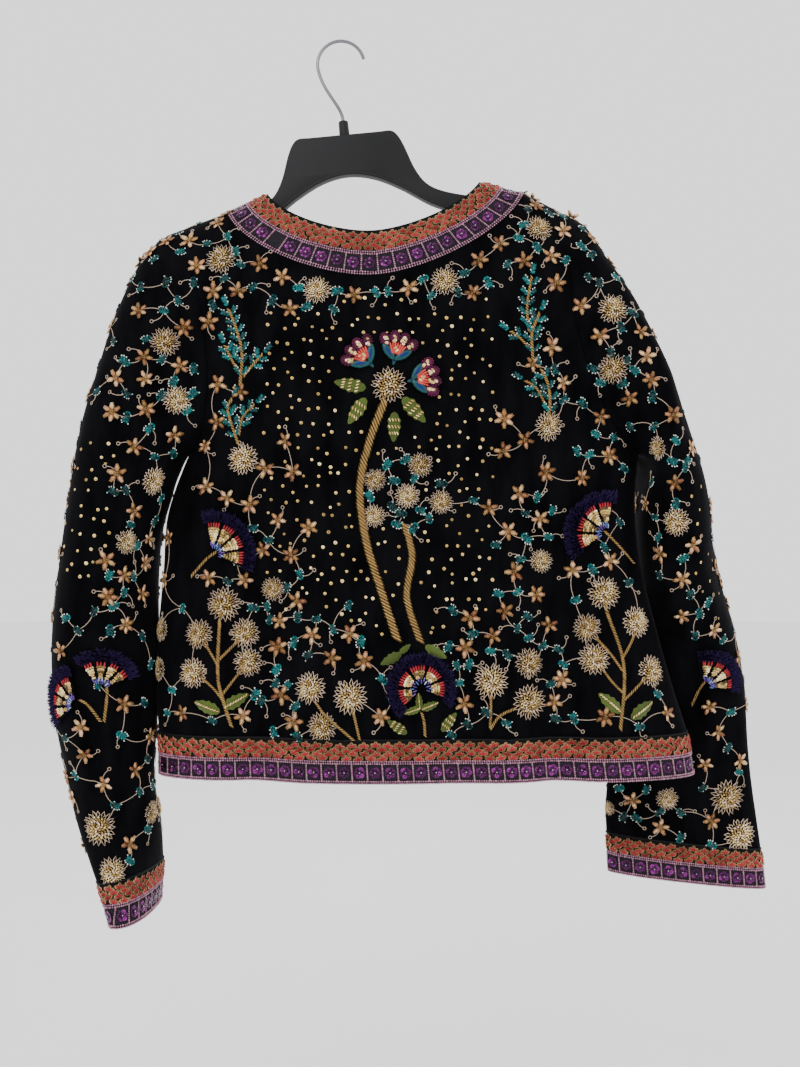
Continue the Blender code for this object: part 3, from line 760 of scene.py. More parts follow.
def add_line(data, places, closed=False):
    """A line through places, added to a curve."""
    spline = data.splines.new("POLY")
    spline.points.add(len(places) - 1)
    for point, place in zip(spline.points, places):
        point.co = (*place, 1)
    spline.use_cyclic_u = closed


def curve_mesh(data):
    """The mesh of a curve, which is removed."""
    mesh = evaluated_mesh(linked(data.name, data))
    bpy.data.curves.remove(data)
    return mesh


def cord_mesh(name, runs, radius):
    """Thin round cords along lines of points."""
    data = bpy.data.curves.new(name, "CURVE")
    data.dimensions = "3D"
    data.bevel_depth = radius
    data.bevel_resolution = 0
    data.use_fill_caps = True
    for run in runs:
        add_line(data, run)
    mesh = curve_mesh(data)
    store(mesh, "tint", np.full(len(mesh.vertices), CORD_TINT))
    mesh.shade_smooth()
    return mesh


Seat = namedtuple("Seat", "panel point normal right up")


def seat_at(panel, point, normal, along=RIGHT):
    """A place on the cloth with directions along it and out of it."""
    right = (along - normal * along.dot(normal)).normalized()
    return Seat(panel, point, normal, right, normal.cross(right))


def nearest_seat(panel, point, along=RIGHT):
    """The place on a panel that is nearest to a point."""
    return seat_at(panel, *CLOTH.nearest(panel, point), along)


def seen_seat(origin, direction):
    """The place on the velvet that a line of sight meets. None where it meets a border or nothing."""
    found = CLOTH.seen(origin, direction)
    return seat_at(*found) if found and found[0] not in BORDERS else None


def photo_seat(x, y, far=False):
    """The place on the velvet that a pixel of the photograph shows, or the one behind it on the far side."""
    across = (x - PHOTO_WIDTH / 2) / PHOTO_FOCAL
    up = (PHOTO_HEIGHT / 2 - y) / PHOTO_FOCAL
    origin, direction = EYE.copy(), Vector((across, 1, up)).normalized()
    if far:
        origin.y, direction.y = -origin.y, -direction.y
    return seen_seat(origin, direction)


def photo_pixel(point):
    """The pixel of the photograph that shows a point."""
    across, away, up = point - EYE
    return (PHOTO_WIDTH / 2 + PHOTO_FOCAL * across / away, PHOTO_HEIGHT / 2 - PHOTO_FOCAL * up / away)


def turned(seat, turn):
    """The direction along the cloth at a turn from a seat's right."""
    return seat.right * math.cos(turn) + seat.up * math.sin(turn)


class Shape:
    """A small form made once, in millimetres: X along, Y across and Z out of the cloth."""

    def __init__(self, bm):
        bmesh.ops.triangulate(bm, faces=bm.faces)
        for face in bm.faces:
            face.smooth = True
        self.mesh = mesh_of("shape", bm)
        self.points = points_of(self.mesh)
        self.shade = np.zeros(len(self.points), np.float32)
        self.mesh.attributes["tint"].data.foreach_get("value", self.shade)


class Needlework:
    """Copies of small shapes, laid on the cloth and kept as one piece."""

    def __init__(self, name, *finishes):
        self.name = name
        self.finishes = finishes
        self.bm = bmesh.new()

    def lay(self, shape, seat, turn=0.0, size=1.0, lift=0.0, tint=0.5, tilt=0.0):
        """Lays a shape flat on the cloth, turned and sized, as one stiff thing."""
        axes = Matrix((seat.right, seat.up, seat.normal)).transposed().to_4x4()
        matrix = Matrix.Translation(seat.point + seat.normal * lift * MM) @ axes
        matrix = matrix @ Matrix.Rotation(turn, 4, "Z") @ Matrix.Rotation(tilt, 4, "Y")
        copy = shape.mesh.copy()
        copy.transform(matrix @ Matrix.Scale(size * MM, 4))
        self.keep(copy, shape.shade + tint)

    def drape(self, shape, seat, turn=0.0, size=1.0, lift=0.0, tint=0.5):
        """Lays a shape so that each of its points follows the cloth."""
        cosine, sine = math.cos(turn), math.sin(turn)
        places = []
        for x, y, z in shape.points * (size * MM):
            flat = seat.right * (x * cosine - y * sine) + seat.up * (x * sine + y * cosine)
            point, normal = CLOTH.nearest(seat.panel, seat.point + flat)
            places.append(point + normal * (z + lift * MM))
        copy = shape.mesh.copy()
        copy.vertices.foreach_set("co", np.array(places, np.float32).ravel())
        self.keep(copy, shape.shade + tint)

    def keep(self, mesh, tints):
        """Adds a placed copy, with its tints."""
        store(mesh, "tint", tints)
        self.bm.from_mesh(mesh)
        bpy.data.meshes.remove(mesh)

    def done(self, slot="velvet"):
        """The finished piece."""
        return piece(self.name, slot, mesh_of(self.name, self.bm), *self.finishes)


def moved(x=0.0, y=0.0, z=0.0, turn=0.0, tilt=0.0, scale=(1, 1, 1)):
    """Place of one part of a shape: sized, tipped up, then turned about Z."""
    place = Matrix.Rotation(turn, 4, "Z") @ Matrix.Translation((x, y, z)) @ Matrix.Rotation(-tilt, 4, "Y")
    return place @ Matrix.Diagonal((*scale, 1))


def whole_turn(count):
    """The turns of a number of things set evenly round a middle."""
    return [math.tau * step / count for step in range(count)]


def blank_shape():
    """An empty bmesh for a shape, whose parts may differ in tint."""
    bm = bmesh.new()
    bm.verts.layers.float.new("tint")
    return bm


def painted(made, material):
    """Gives a new part's faces their material."""
    for vert in made["verts"]:
        for face in vert.link_faces:
            face.material_index = material


def add_petal(bm, place, size, material, sides, rings, point):
    """A rounded petal along X, more or less pointed. Its size: half length, half width and height."""
    length, width, height = size
    made = bmesh.ops.create_uvsphere(bm, u_segments=sides, v_segments=rings, radius=1)
    painted(made, material)
    bmesh.ops.transform(bm, matrix=Matrix.Rotation(math.pi / 2, 4, "Y"), verts=made["verts"])
    for vert in made["verts"]:
        narrow = 1 - point * abs(vert.co.x) ** PETAL_CURVE
        vert.co = vert.co * Vector((length, width * narrow, height * narrow))
    bmesh.ops.transform(bm, matrix=place, verts=made["verts"])


def add_gem(bm, place, size, material=0, sides=4, shade=0.0, heart=0.0):
    """A small faceted bead or petal, sized as a petal is, darker at its heart where that is given."""
    made = bmesh.ops.create_uvsphere(bm, u_segments=sides, v_segments=2, radius=1)
    painted(made, material)
    tint = bm.verts.layers.float["tint"]
    for vert in made["verts"]:
        vert[tint] = shade - heart * abs(vert.co.z)
    bmesh.ops.transform(bm, matrix=place @ Matrix.Diagonal((*size, 1)), verts=made["verts"])


def add_bead(bm, place, radius):
    """A small round bead."""
    bmesh.ops.create_icosphere(bm, subdivisions=1, radius=radius, matrix=place)


def add_loop(bm, place, half_length, half_width, wire, sides):
    """A loop of wire lying flat: a closed oval ridge."""
    rings = []
    for grow, rise in ((wire, 0), (0, wire * WIRE_RISE), (-wire, 0)):
        oval = Matrix.Diagonal((half_length + grow, half_width + grow, 1, 1))
        ring = place @ Matrix.Translation((0, 0, rise)) @ oval
        made = bmesh.ops.create_circle(bm, segments=sides, radius=1, matrix=ring)
        rings.append(dict.fromkeys(edge for vert in made["verts"] for edge in vert.link_edges))
    faces = []
    for first, second in zip(rings, rings[1:] + rings[:1]):
        faces += bmesh.ops.bridge_loops(bm, edges=[*first, *second])["faces"]
    bmesh.ops.recalc_face_normals(bm, faces=faces)


def add_sequin(bm, place, radius, sides=9, shade=0.0):
    """A cupped sequin with its small hole."""
    hole, cup = radius * SEQUIN_HOLE, radius * SEQUIN_CUP
    made = bmesh.ops.create_cone(bm, segments=sides, radius1=radius, radius2=hole, depth=cup, matrix=place)
    tint = bm.verts.layers.float["tint"]
    for vert in made["verts"]:
        vert[tint] = shade


# Borders

# Beads and lobes in millimetres: half length, half width, height
CORAL_EDGE = (2.8, 2.0, 0.9)
CORAL_LOBE = (2.1, 1.2, 1.1)
CORAL_TURNS = (-1.1, 0.0, 1.1)
PURPLE_SEQUINS = 6
PURPLE_KINDS = 5
PALE_BEAD = (0.62, 0.62, 0.6)

# Rows across a border, as shares of its width, and spacings along it in millimetres
CORAL_ROWS = (0.16, 0.258, 0.356, 0.454)
CORAL_SPACING = 10.4
BEAD_ROWS = (0.485, 0.535, 0.945, 0.995)
BEAD_SPACING = 2.05
SQUARE_LENGTH = 13.4
SQUARE_MIDDLE = 0.742
DIVIDER_BEADS = 9
BARE_SQUARE = ("neck_border_back", 4)
STRIP_GLANCE = 0.004
SEAM_RADIUS = 1.1 * MM
SEAM_STEPS = 60


def coral_flower():
    """A fan of three coral lobes, each with a gold thread round it, 11 mm across."""
    bm = blank_shape()
    for turn in CORAL_TURNS:
        add_gem(bm, moved(x=2.5, z=0.5, turn=turn), CORAL_EDGE, material=1, sides=8, shade=0.2)
        add_gem(bm, moved(x=2.2, z=0.9, turn=turn), CORAL_LOBE, sides=6)
    return Shape(bm)


def purple_flower(chance):
    """Dark sequins set round a pale bead, as a flower, a few of them tinted brighter as painted glints."""
    bm = blank_shape()
    for turn in whole_turn(PURPLE_SEQUINS):
        # A few sequins take a brighter tint: painted glints
        shade = 0.8 * chance.random() ** 2 - 0.1
        add_sequin(bm, moved(x=3.0, z=0.5, turn=turn, tilt=0.22), radius=2.4, sides=7, shade=shade)
    add_sequin(bm, moved(z=1.1), radius=1.9, sides=7, shade=-0.15)
    add_gem(bm, moved(z=1.6), PALE_BEAD, material=1, sides=6, shade=-0.2)
    return Shape(bm)


def bead():
    """One round bead."""
    bm = blank_shape()
    add_bead(bm, moved(z=0.5, scale=(1, 1, 0.9)), radius=0.95)
    return Shape(bm)


def strip_point(node, share, across):
    """A point between a border's edges: share of their length, and place across."""
    upper, lower = EDGES[node]
    return along_line(upper, share).lerp(along_line(lower, share), across)


def strip_seat(node, share, across):
    """A place on a border, with X along it."""
    ahead = strip_point(node, min(1.0, share + STRIP_GLANCE), across)
    behind = strip_point(node, max(0.0, share - STRIP_GLANCE), across)
    return nearest_seat(node, strip_point(node, share, across), (ahead - behind).normalized())


def strip_count(node, spacing):
    """How many things fit along a border at a spacing."""
    upper, lower = EDGES[node]
    length = (run_length(upper) + run_length(lower)) / 2
    return round(length / (spacing * MM))


def coral_rows(flowers, shape, node, chance):
    """Staggered rows of coral flowers that open towards a border's upper edge."""
    upper, lower = EDGES[node]
    count = strip_count(node, CORAL_SPACING)
    for row, across in enumerate(CORAL_ROWS):
        for step in range(count):
            share = (step + 0.25 + 0.5 * (row % 2)) / count
            seat = strip_seat(node, share, across + chance.uniform(-0.015, 0.015))
            rise = seat.up.dot(along_line(upper, share) - along_line(lower, share))
            turn = math.copysign(math.pi / 2, rise) + chance.uniform(-0.3, 0.3)
            flowers.lay(shape, seat, turn, chance.uniform(0.9, 1.06), tint=chance.uniform(0.2, 0.9))


def bead_rows(lines, shape, node, chance):
    """Lines of beads along a border."""
    count = strip_count(node, BEAD_SPACING)
    for across in BEAD_ROWS:
        for step in range(count):
            seat = strip_seat(node, (step + 0.5) / count, across)
            lines.lay(shape, seat, size=chance.uniform(0.9, 1.1), tint=chance.uniform(0.1, 0.9))


def divider_beads(lines, shape, node, share, chance):
    """A line of beads across a border, between two squares."""
    top, bottom = BEAD_ROWS[1:3]
    for step in range(DIVIDER_BEADS):
        across = top + (bottom - top) * (step + 0.5) / DIVIDER_BEADS
        lines.lay(shape, strip_seat(node, share, across), tint=chance.uniform(0.1, 0.9))


def border_beads(chance):
    """Coral flowers, purple sequin flowers in squares, and the bead lines round them, on every border."""
    coral, round_bead = coral_flower(), bead()
    purples = [purple_flower(chance) for _ in range(PURPLE_KINDS)]
    flowers = Needlework("border_coral_flowers", "coral", "olive_gold")
    sequins = Needlework("border_purple_flowers", "purple", "silver")
    lines = Needlework("border_bead_lines", "mauve")
    for node in BORDERS:
        coral_rows(flowers, coral, node, chance)
        bead_rows(lines, round_bead, node, chance)
        squares = strip_count(node, SQUARE_LENGTH)
        for square in range(squares):
            seat = strip_seat(node, (square + 0.5) / squares, SQUARE_MIDDLE)
            if (node, square) != BARE_SQUARE:
                purple = chance.choice(purples)
                sequins.lay(purple, seat, chance.uniform(0, 1), tint=chance.uniform(0.3, 0.7))
            divider_beads(lines, round_bead, node, square / squares, chance)
    for work in (flowers, sequins, lines):
        work.done("border")


def seam_ribbons():
    """The folded edge of the ribbon that covers each border's seam with the velvet."""
    runs = []
    for node in BORDERS:
        upper, lower = EDGES[node]
        edge = lower if node.startswith("neck") else upper
        runs.append([CLOTH.nearest(node, along_line(edge, share))[0] for share in even_shares(SEAM_STEPS)])
    piece("seam_ribbons", "border", cord_mesh("seam_ribbons", runs, SEAM_RADIUS), "ribbon")


# Flowers, leaves and cords: places read off the photograph, in its pixels

# x, y, width in millimetres
DAISIES = (
    (221, 259, 27), (165, 342, 26), (177, 400, 26), (243, 459, 28), (154, 481, 25), (131, 279, 22),
    (317, 290, 24), (445, 281, 25), (539, 228, 24), (613, 309, 27), (613, 369, 26), (549, 426, 27),
    (658, 448, 22), (676, 522, 26), (127, 542, 22), (273, 589, 21), (541, 561, 21), (389, 385, 31),
    (375, 480, 20), (420, 465, 22), (407, 496, 22), (441, 502, 21), (374, 516, 20), (310, 688, 28),
    (350, 697, 30), (322, 727, 26), (491, 681, 30), (529, 663, 26), (529, 702, 30), (604, 593, 30),
    (587, 628, 25), (636, 622, 28), (594, 659, 28), (651, 671, 28), (224, 604, 30), (199, 634, 26),
    (245, 633, 26), (248, 662, 26), (193, 673, 27), (161, 629, 22), (159, 669, 22), (99, 828, 31),
    (112, 872, 26), (152, 812, 21), (727, 797, 33), (740, 835, 32), (667, 799, 21), (609, 808, 14),
)
FLORETS = (
    (218, 223), (189, 241), (197, 266), (150, 253), (260, 264), (282, 277), (213, 291), (238, 291),
    (290, 309), (209, 322), (139, 311), (184, 328), (144, 357), (180, 366), (145, 379), (116, 378),
    (112, 412), (146, 409), (218, 384), (240, 392), (217, 422), (174, 435), (134, 447), (205, 446),
    (182, 470), (117, 474), (265, 469), (285, 441), (293, 472), (354, 295), (206, 487), (227, 498),
    (250, 505), (209, 578), (245, 580), (182, 713), (243, 716), (169, 538), (165, 580), (278, 520),
    (309, 528), (291, 555), (263, 550), (297, 601), (280, 621), (312, 635), (350, 634), (278, 647),
    (332, 658), (364, 661), (281, 695), (294, 722), (381, 717), (409, 288), (473, 293), (479, 260),
    (500, 244), (536, 206), (563, 231), (551, 256), (524, 261), (556, 284), (581, 306), (600, 336),
    (641, 332), (647, 356), (651, 380), (630, 398), (552, 347), (533, 364), (563, 383), (601, 417),
    (673, 415), (691, 448), (609, 456), (525, 440), (546, 472), (504, 419), (503, 451), (582, 478),
    (489, 508), (508, 531), (519, 494), (514, 572), (540, 519), (536, 594), (505, 611), (470, 618),
    (493, 636), (465, 648), (464, 704), (549, 625), (562, 679), (554, 702), (610, 561), (573, 570),
    (605, 717), (667, 713), (134, 511), (106, 560), (145, 563), (149, 539), (124, 575), (142, 594),
    (108, 597), (126, 625), (61, 651), (124, 704), (81, 727), (85, 755), (135, 770), (104, 784),
    (73, 797), (150, 736), (129, 844), (675, 483), (646, 504), (693, 545), (660, 554), (682, 579),
    (714, 630), (682, 616), (709, 707), (718, 732), (705, 764), (740, 761), (711, 821), (632, 800),
    (660, 827),
)
LEAVES = (
    (228, 237), (208, 244), (236, 252), (241, 265), (180, 252), (194, 282), (224, 279), (253, 287),
    (155, 259), (141, 287), (166, 283), (164, 311), (178, 300), (213, 305), (114, 341), (147, 339),
    (162, 359), (194, 368), (125, 362), (97, 392), (126, 393), (127, 417), (174, 381), (161, 396),
    (192, 394), (187, 411), (150, 428), (155, 457), (173, 454), (298, 288), (273, 300), (306, 307),
    (333, 309), (338, 291), (376, 293), (388, 291), (424, 279), (431, 296), (458, 293), (465, 273),
    (488, 282), (528, 210), (548, 213), (524, 225), (518, 238), (537, 247), (582, 247), (566, 260),
    (508, 264), (592, 255), (588, 277), (599, 284), (616, 278), (633, 314), (621, 327), (611, 353),
    (627, 361), (634, 370), (592, 368), (601, 383), (622, 384), (653, 396), (582, 346), (555, 369),
    (563, 400), (583, 404), (595, 434), (615, 437), (630, 426), (655, 426), (676, 441), (686, 462),
    (577, 452), (589, 455), (624, 469), (387, 465), (405, 460), (395, 481), (414, 479), (442, 484),
    (370, 497), (392, 506), (402, 514), (420, 510), (429, 519), (396, 524), (414, 528), (227, 581),
    (254, 608), (267, 607), (270, 620), (294, 642), (298, 618), (287, 588), (316, 619), (309, 655),
    (277, 669), (276, 683), (287, 686), (296, 706), (274, 731), (298, 737), (255, 695), (213, 721),
    (473, 500), (495, 545), (526, 538), (549, 537), (525, 513), (552, 511), (537, 498), (521, 559),
    (499, 594), (517, 592), (453, 611), (473, 634), (517, 629), (528, 617), (528, 638), (542, 646),
    (449, 646), (490, 651), (507, 654), (469, 664), (457, 666), (458, 683), (559, 650), (563, 664),
    (550, 684), (487, 713), (506, 723), (468, 725), (556, 719), (574, 719), (604, 547), (592, 569),
    (575, 600), (629, 582), (619, 522), (657, 694), (640, 727), (655, 517), (676, 503), (659, 537),
    (684, 558), (114, 492), (126, 491), (161, 498), (131, 525), (155, 520), (137, 546), (109, 576),
    (133, 577), (124, 593), (114, 606), (94, 612), (67, 618), (78, 630), (110, 630), (142, 637),
    (99, 684), (144, 703), (121, 735), (65, 738), (147, 758), (76, 776), (139, 791), (152, 786),
    (115, 805), (130, 861), (147, 829), (168, 713), (172, 690), (672, 461), (685, 468), (652, 483),
    (660, 576), (690, 595), (708, 602), (699, 613), (695, 636), (722, 640), (730, 712), (728, 747),
    (739, 772), (702, 788), (620, 788), (646, 790), (680, 812), (659, 812), (624, 816), (637, 818),
    (680, 838), (712, 845), (150, 665), (183, 608), (262, 700), (238, 560), (392, 698), (383, 680),
    (452, 735), (349, 605), (333, 629), (361, 641), (268, 540), (252, 528), (300, 575),
)

# Lines of gold thread: how wide, then the points that they run through
GOLD_LINES = (
    (9.6, ((386, 398), (370, 440), (360, 488), (366, 540), (381, 590), (398, 642))),
    (8.4, ((404, 522), (412, 556), (407, 598), (421, 644))),
    (3.8, ((218, 551), (207, 559), (191, 577))),
    (3.8, ((603, 530), (613, 540), (624, 552), (634, 564))),
    (3.8, ((79, 699), (89, 706), (101, 722))),
    (3.8, ((106, 680), (107, 696), (104, 722))),
    (3.8, ((706, 680), (699, 690), (691, 706))),
    (3.6, ((421, 711), (424, 722), (425, 737))),
    (4.6, ((620, 731), (624, 685), (621, 653), (607, 613), (604, 596))),
    (4.6, ((232, 728), (223, 699), (218, 674), (220, 621), (223, 606))),
    (3.4, ((623, 672), (611, 655), (595, 637))),
    (3.4, ((621, 660), (629, 646), (636, 630))),
    (3.4, ((624, 694), (612, 682), (600, 666))),
    (3.4, ((624, 700), (634, 690), (646, 677))),
    (3.4, ((219, 668), (212, 655), (203, 640))),
    (3.4, ((219, 660), (229, 650), (240, 639))),
    (3.4, ((224, 702), (215, 690), (200, 676))),
    (3.4, ((223, 694), (232, 682), (243, 668))),
    (3.4, ((361, 747), (344, 732), (326, 716), (314, 700))),
    (3.4, ((361, 747), (357, 728), (352, 708))),
    (3.4, ((490, 730), (500, 716), (516, 708))),
    (3.4, ((490, 730), (491, 712), (491, 694))),
)

# Twigs with teal leaves, in the same columns
FERN_LINES = (
    (4.2, ((240, 388), (242, 352), (235, 325), (228, 308))),
    (3.5, ((240, 373), (232, 360), (225, 345))),
    (3.5, ((243, 377), (252, 366), (263, 354))),
    (4.2, ((239, 446), (228, 410), (233, 398))),
    (3.5, ((239, 436), (243, 417), (255, 404))),
    (4.2, ((549, 424), (549, 390), (541, 368))),
    (3.5, ((546, 406), (536, 388), (524, 380))),
    (4.2, ((533, 362), (532, 333), (540, 312))),
    (3.5, ((529, 333), (527, 306), (532, 276))),
    (3.5, ((529, 348), (520, 338), (510, 331))),
)

# Satin leaves: x, y, direction of the tip in degrees from the right, length in millimetres, gold on it
GREEN_LEAVES = (
    (350, 385, 168, 29, "bands"), (357, 411, 236, 28, "bands"), (394, 427, 268, 27, "bands"),
    (414, 410, 312, 30, "bands"), (610, 703, 140, 27, "rib"), (642, 710, 35, 27, "rib"),
    (207, 707, 160, 26, "rib"), (236, 701, 30, 26, "rib"), (397, 727, 145, 21, "bands"),
    (449, 722, 52, 21, "bands"), (391, 659, 208, 21, "plain"), (436, 652, 330, 22, "plain"),
    (405, 649, 40, 13, "plain"), (419, 701, 96, 15, "rib"), (412, 711, 198, 16, "rib"),
    (430, 706, 22, 17, "rib"),
)

# Stitches of gold on a satin leaf: place along it and to the side of its rib, from -1 to 1
LEAF_GOLD = {
    "bands": [(along, side) for along in (-0.45, 0.0, 0.42) for side in (-0.66, -0.22, 0.22, 0.66)],
    "rib": [(0.8 * step / 4, 0.0) for step in range(-4, 5)],
    "plain": [],
}
GOLD_SLANT = 0.5
LEAF_LENGTH = 20
LEAF_HALF_WIDTH = 4.1
LEAF_WELD = 0.01
DAISY_WIDTH = 20

# Beads and petals in millimetres: half length, half width, height
HEAP_BUGLE = (1.5, 0.65, 0.6)
FLORET_PETAL = (4.2, 2.2, 1.1)
FLORET_STITCH = (1.5, 0.6, 0.55)
EDGE_BEAD = (0.9, 0.8, 0.8)
FERN_EDGE_BEAD = (0.9, 0.75, 0.7)
LEAF_RIB = (5.6, 1.3, 0.9)
FERN_RIB = (4.4, 1.4, 0.9)

# A daisy's fringe and heap, and the finishes that its bugles take by turns and a floret's petals by chance
FRINGE_LOOPS = 20
FRINGE_WIRE = 0.26
HEAP_BUGLES = 60
HEAP_RADIUS = 6.7
HEAP_HEIGHT = 2.3
SPIRAL_SHARE = 0.382
BUGLE_KINDS = (0, 1, 1, 2)
PETAL_KINDS = (0, 0, 2)
LEAF_BEAD_STEP = 2.3

# Sequins lie in uneven rows over the middle of the back and sleeves: left, right, top and bottom in pixels
SEQUIN_FIELDS = ((268, 505, 302, 655), (64, 122, 440, 600), (694, 728, 470, 640))
SEQUIN_STEP = 13.4
SEQUIN_STRAY = 0.34
SEQUIN_GAP = 3
SEQUIN_RADIUS = 1.5

# Room that flowers, sprays and gold lines keep from the sequins: shares of their size, or pixels
FLOWER_ROOM = 0.55
SPRAY_ROOM = 8
LINE_ROOM = 0.7
LINE_ROOM_STEP = 6

# Slanting threads of a gold line, by its width: share of it, and what is added. Then leaves along a fern
THREAD_REACH = 1.3
THREAD_RADIUS = (0.035, 0.36)
THREAD_STEP = (0.1, 1.0)
THREAD_SLANT = 0.75
THREAD_TINTS = (0.1, 0.9)
THREAD_LIFTS = (0.3, 0.6)
FERN_STEP = 10.5
FERN_TIP_SIZE = 1.3

# Cords
LONGEST_VINE = 42 * MM
VINE_BOWS = (0.08, 0.32)
VINE_STEPS = 6
VINE_LIFT = 0.45 * MM
VINE_RADIUS = 0.35 * MM
CURL_REACH = 10.5
CURL_ROOM = 6 * MM
CURL_BOW = 0.35
CURL_TRIES = 9
CURL_CHANCE = 0.6
RING_RADIUS = 1.5
RING_WIRE = 0.42

# Sprays seen only edge on: down the outer side of a sleeve, in metres, and along the shoulders' top
SIDE_TOP = 0.03
SIDE_BOTTOM = 0.02
SIDE_STEP = 0.017
SIDE_ROWS = ((0.0,), (-0.018, 0.018))
SIDE_STRAY = 0.009
SIDE_RISE = 0.007
RIDGE_STEP = 9 * MM
RIDGE_DEPTHS = (-16, 4)
SPRAY_GAP = 12 * MM

# The hidden fronts have no daisies between these pixels across
FRONT_GAP = (330, 460)


def daisy(chance):
    """A fringe of pointed wire loops round a heap of short gold and pale bugles, 20 mm across."""
    bm = blank_shape()
    for step in range(FRINGE_LOOPS):
        turn = math.tau * (step + chance.uniform(-0.25, 0.25)) / FRINGE_LOOPS
        place = moved(x=7.9, z=0.3, turn=turn, tilt=0.1)
        add_loop(bm, place, chance.uniform(2.0, 2.9), 1.0, FRINGE_WIRE, sides=4)
    for step in range(HEAP_BUGLES):
        share = (step + 0.5) / HEAP_BUGLES
        turn = math.tau * step * SPIRAL_SHARE
        place = moved(HEAP_RADIUS * math.sqrt(share), 0, HEAP_HEIGHT - share, turn, chance.uniform(0, 0.5))
        place = place @ moved(turn=chance.uniform(-0.9, 0.9))
        kind = BUGLE_KINDS[step % len(BUGLE_KINDS)]
        # Each bugle's random shade is partly its own tone and partly a painted glint
        add_gem(bm, place, HEAP_BUGLE, kind, shade=chance.uniform(-0.4, 0.5))
    return Shape(bm)


def floret(petals, chance):
    """A flower of pointed copper and rose petals, pale at their edges, about gold stitches, 17 mm across."""
    bm = blank_shape()
    for step in range(petals):
        turn = math.tau * (step + chance.uniform(-0.12, 0.12)) / petals
        place = moved(x=4.6, z=1.0, turn=turn, tilt=0.14)
        kind = chance.choice(PETAL_KINDS)
        add_gem(bm, place, FLORET_PETAL, kind, sides=6, shade=chance.uniform(-0.35, 0.5), heart=0.45)
    for turn in whole_turn(4):
        add_gem(bm, moved(x=1.0, z=2.0, turn=turn, tilt=0.3), FLORET_STITCH, material=1)
    return Shape(bm)


def leaf_beads(bm, lengths, start, slant, chance):
    """Pairs of teal beads that slant away from a leaf's rib. Returns where each of them ends."""
    ends = []
    for step, length in enumerate(lengths):
        for side in (-1, 1):
            place = moved(start + LEAF_BEAD_STEP * step, 0, 0.6) @ moved(turn=side * slant)
            size = (length / 2 + 0.5, 1.1, 0.9)
            add_gem(bm, place @ moved(length / 2), size, shade=chance.uniform(-0.4, 0.4))
            ends.append(place @ moved(length + 0.4))
    return ends


def bead_leaf(chance):
    """A small leaf of slanting teal beads with pale beads round its edge, more on one side, 11 mm long."""
    bm = blank_shape()
    ends = leaf_beads(bm, lengths=(3.4, 4.5, 4.2, 3.0), start=-4.4, slant=0.8, chance=chance)
    add_gem(bm, moved(x=0.6, z=0.5), LEAF_RIB, shade=-0.2)
    side = chance.choice((0, 1))
    for end in ends[side::2] + ends[1 - side::6]:
        add_gem(bm, end, EDGE_BEAD, material=1)
    return Shape(bm)


def fern_leaf(chance):
    """An oval leaf of a fern, from its stalk, pale along one edge, 10 mm long."""
    bm = blank_shape()
    ends = leaf_beads(bm, lengths=(2.4, 3.1, 2.6), start=1.6, slant=0.6, chance=chance)
    add_gem(bm, moved(x=5.4, z=0.5), FERN_RIB, shade=-0.1)
    for end in ends[chance.choice((0, 1))::2]:
        add_gem(bm, end, FERN_EDGE_BEAD, material=1)
    return Shape(bm)


def stitch(length, radius):
    """One laid gold thread, rounded at both ends."""
    bm = blank_shape()
    size = (length / 2, radius, radius)
    add_petal(bm, moved(z=radius * 0.6), size, material=0, sides=5, rings=3, point=0.0)
    return Shape(bm)


def sequin(radius):
    """One cupped sequin."""
    bm = blank_shape()
    add_sequin(bm, moved(z=0.4), radius)
    return Shape(bm)


def leaf_width(along):
    """Half the width of a satin leaf at a place along it, from -1 to 1, before it is sized."""
    lobes = 1 + 0.12 * math.cos(14 * along)
    return LEAF_HALF_WIDTH * lobes * (1 - abs(along) ** 2.2) ** 0.75 * (1 - 0.25 * along)


def leaf_height(along, side):
    """How far its padding stands out of the cloth there."""
    return 0.2 + 1.3 * (1 - side ** 2) * (1 - along ** 2)


def satin_leaf():
    """A padded leaf of satin stitch with its own stitch map, before it is sized."""
    bm = blank_shape()
    bmesh.ops.create_grid(bm, x_segments=24, y_segments=4, size=1, calc_uvs=False)
    stitches = bm.loops.layers.uv.new("stitch")
    for face in bm.faces:
        for loop in face.loops:
            loop[stitches].uv = (loop.vert.co.x * 2, abs(loop.vert.co.y))
    for vert in bm.verts:
        along, side = vert.co.x, vert.co.y
        vert.co = (along * LEAF_LENGTH / 2, side * leaf_width(along), leaf_height(along, side))
    bmesh.ops.remove_doubles(bm, verts=bm.verts, dist=LEAF_WELD)
    return Shape(bm)


def bead_ring():
    """The small ring that ends a tendril."""
    bm = blank_shape()
    add_loop(bm, moved(z=0.2), RING_RADIUS, RING_RADIUS, RING_WIRE, sides=8)
    return Shape(bm)


def smooth_path(points, step):
    """Places along a smooth line through points, about a step apart."""
    points = [Vector(point) for point in points]
    line = [2 * points[0] - points[1], *points, 2 * points[-1] - points[-2]]
    path = []
    for a, b, c, d in zip(line, line[1:], line[2:], line[3:]):
        count = max(1, round((c - b).length / step))
        for index in range(count):
            t = index / count
            curve = 2 * b + (c - a) * t + (2 * a - 5 * b + 4 * c - d) * t ** 2
            curve += (3 * b - 3 * c + d - a) * t ** 3
            path.append(curve / 2)
    path.append(points[-1])
    return path


def pixel_heading(start, end):
    """The turn of a line between two pixels, from the right."""
    return math.atan2(start.y - end.y, end.x - start.x)


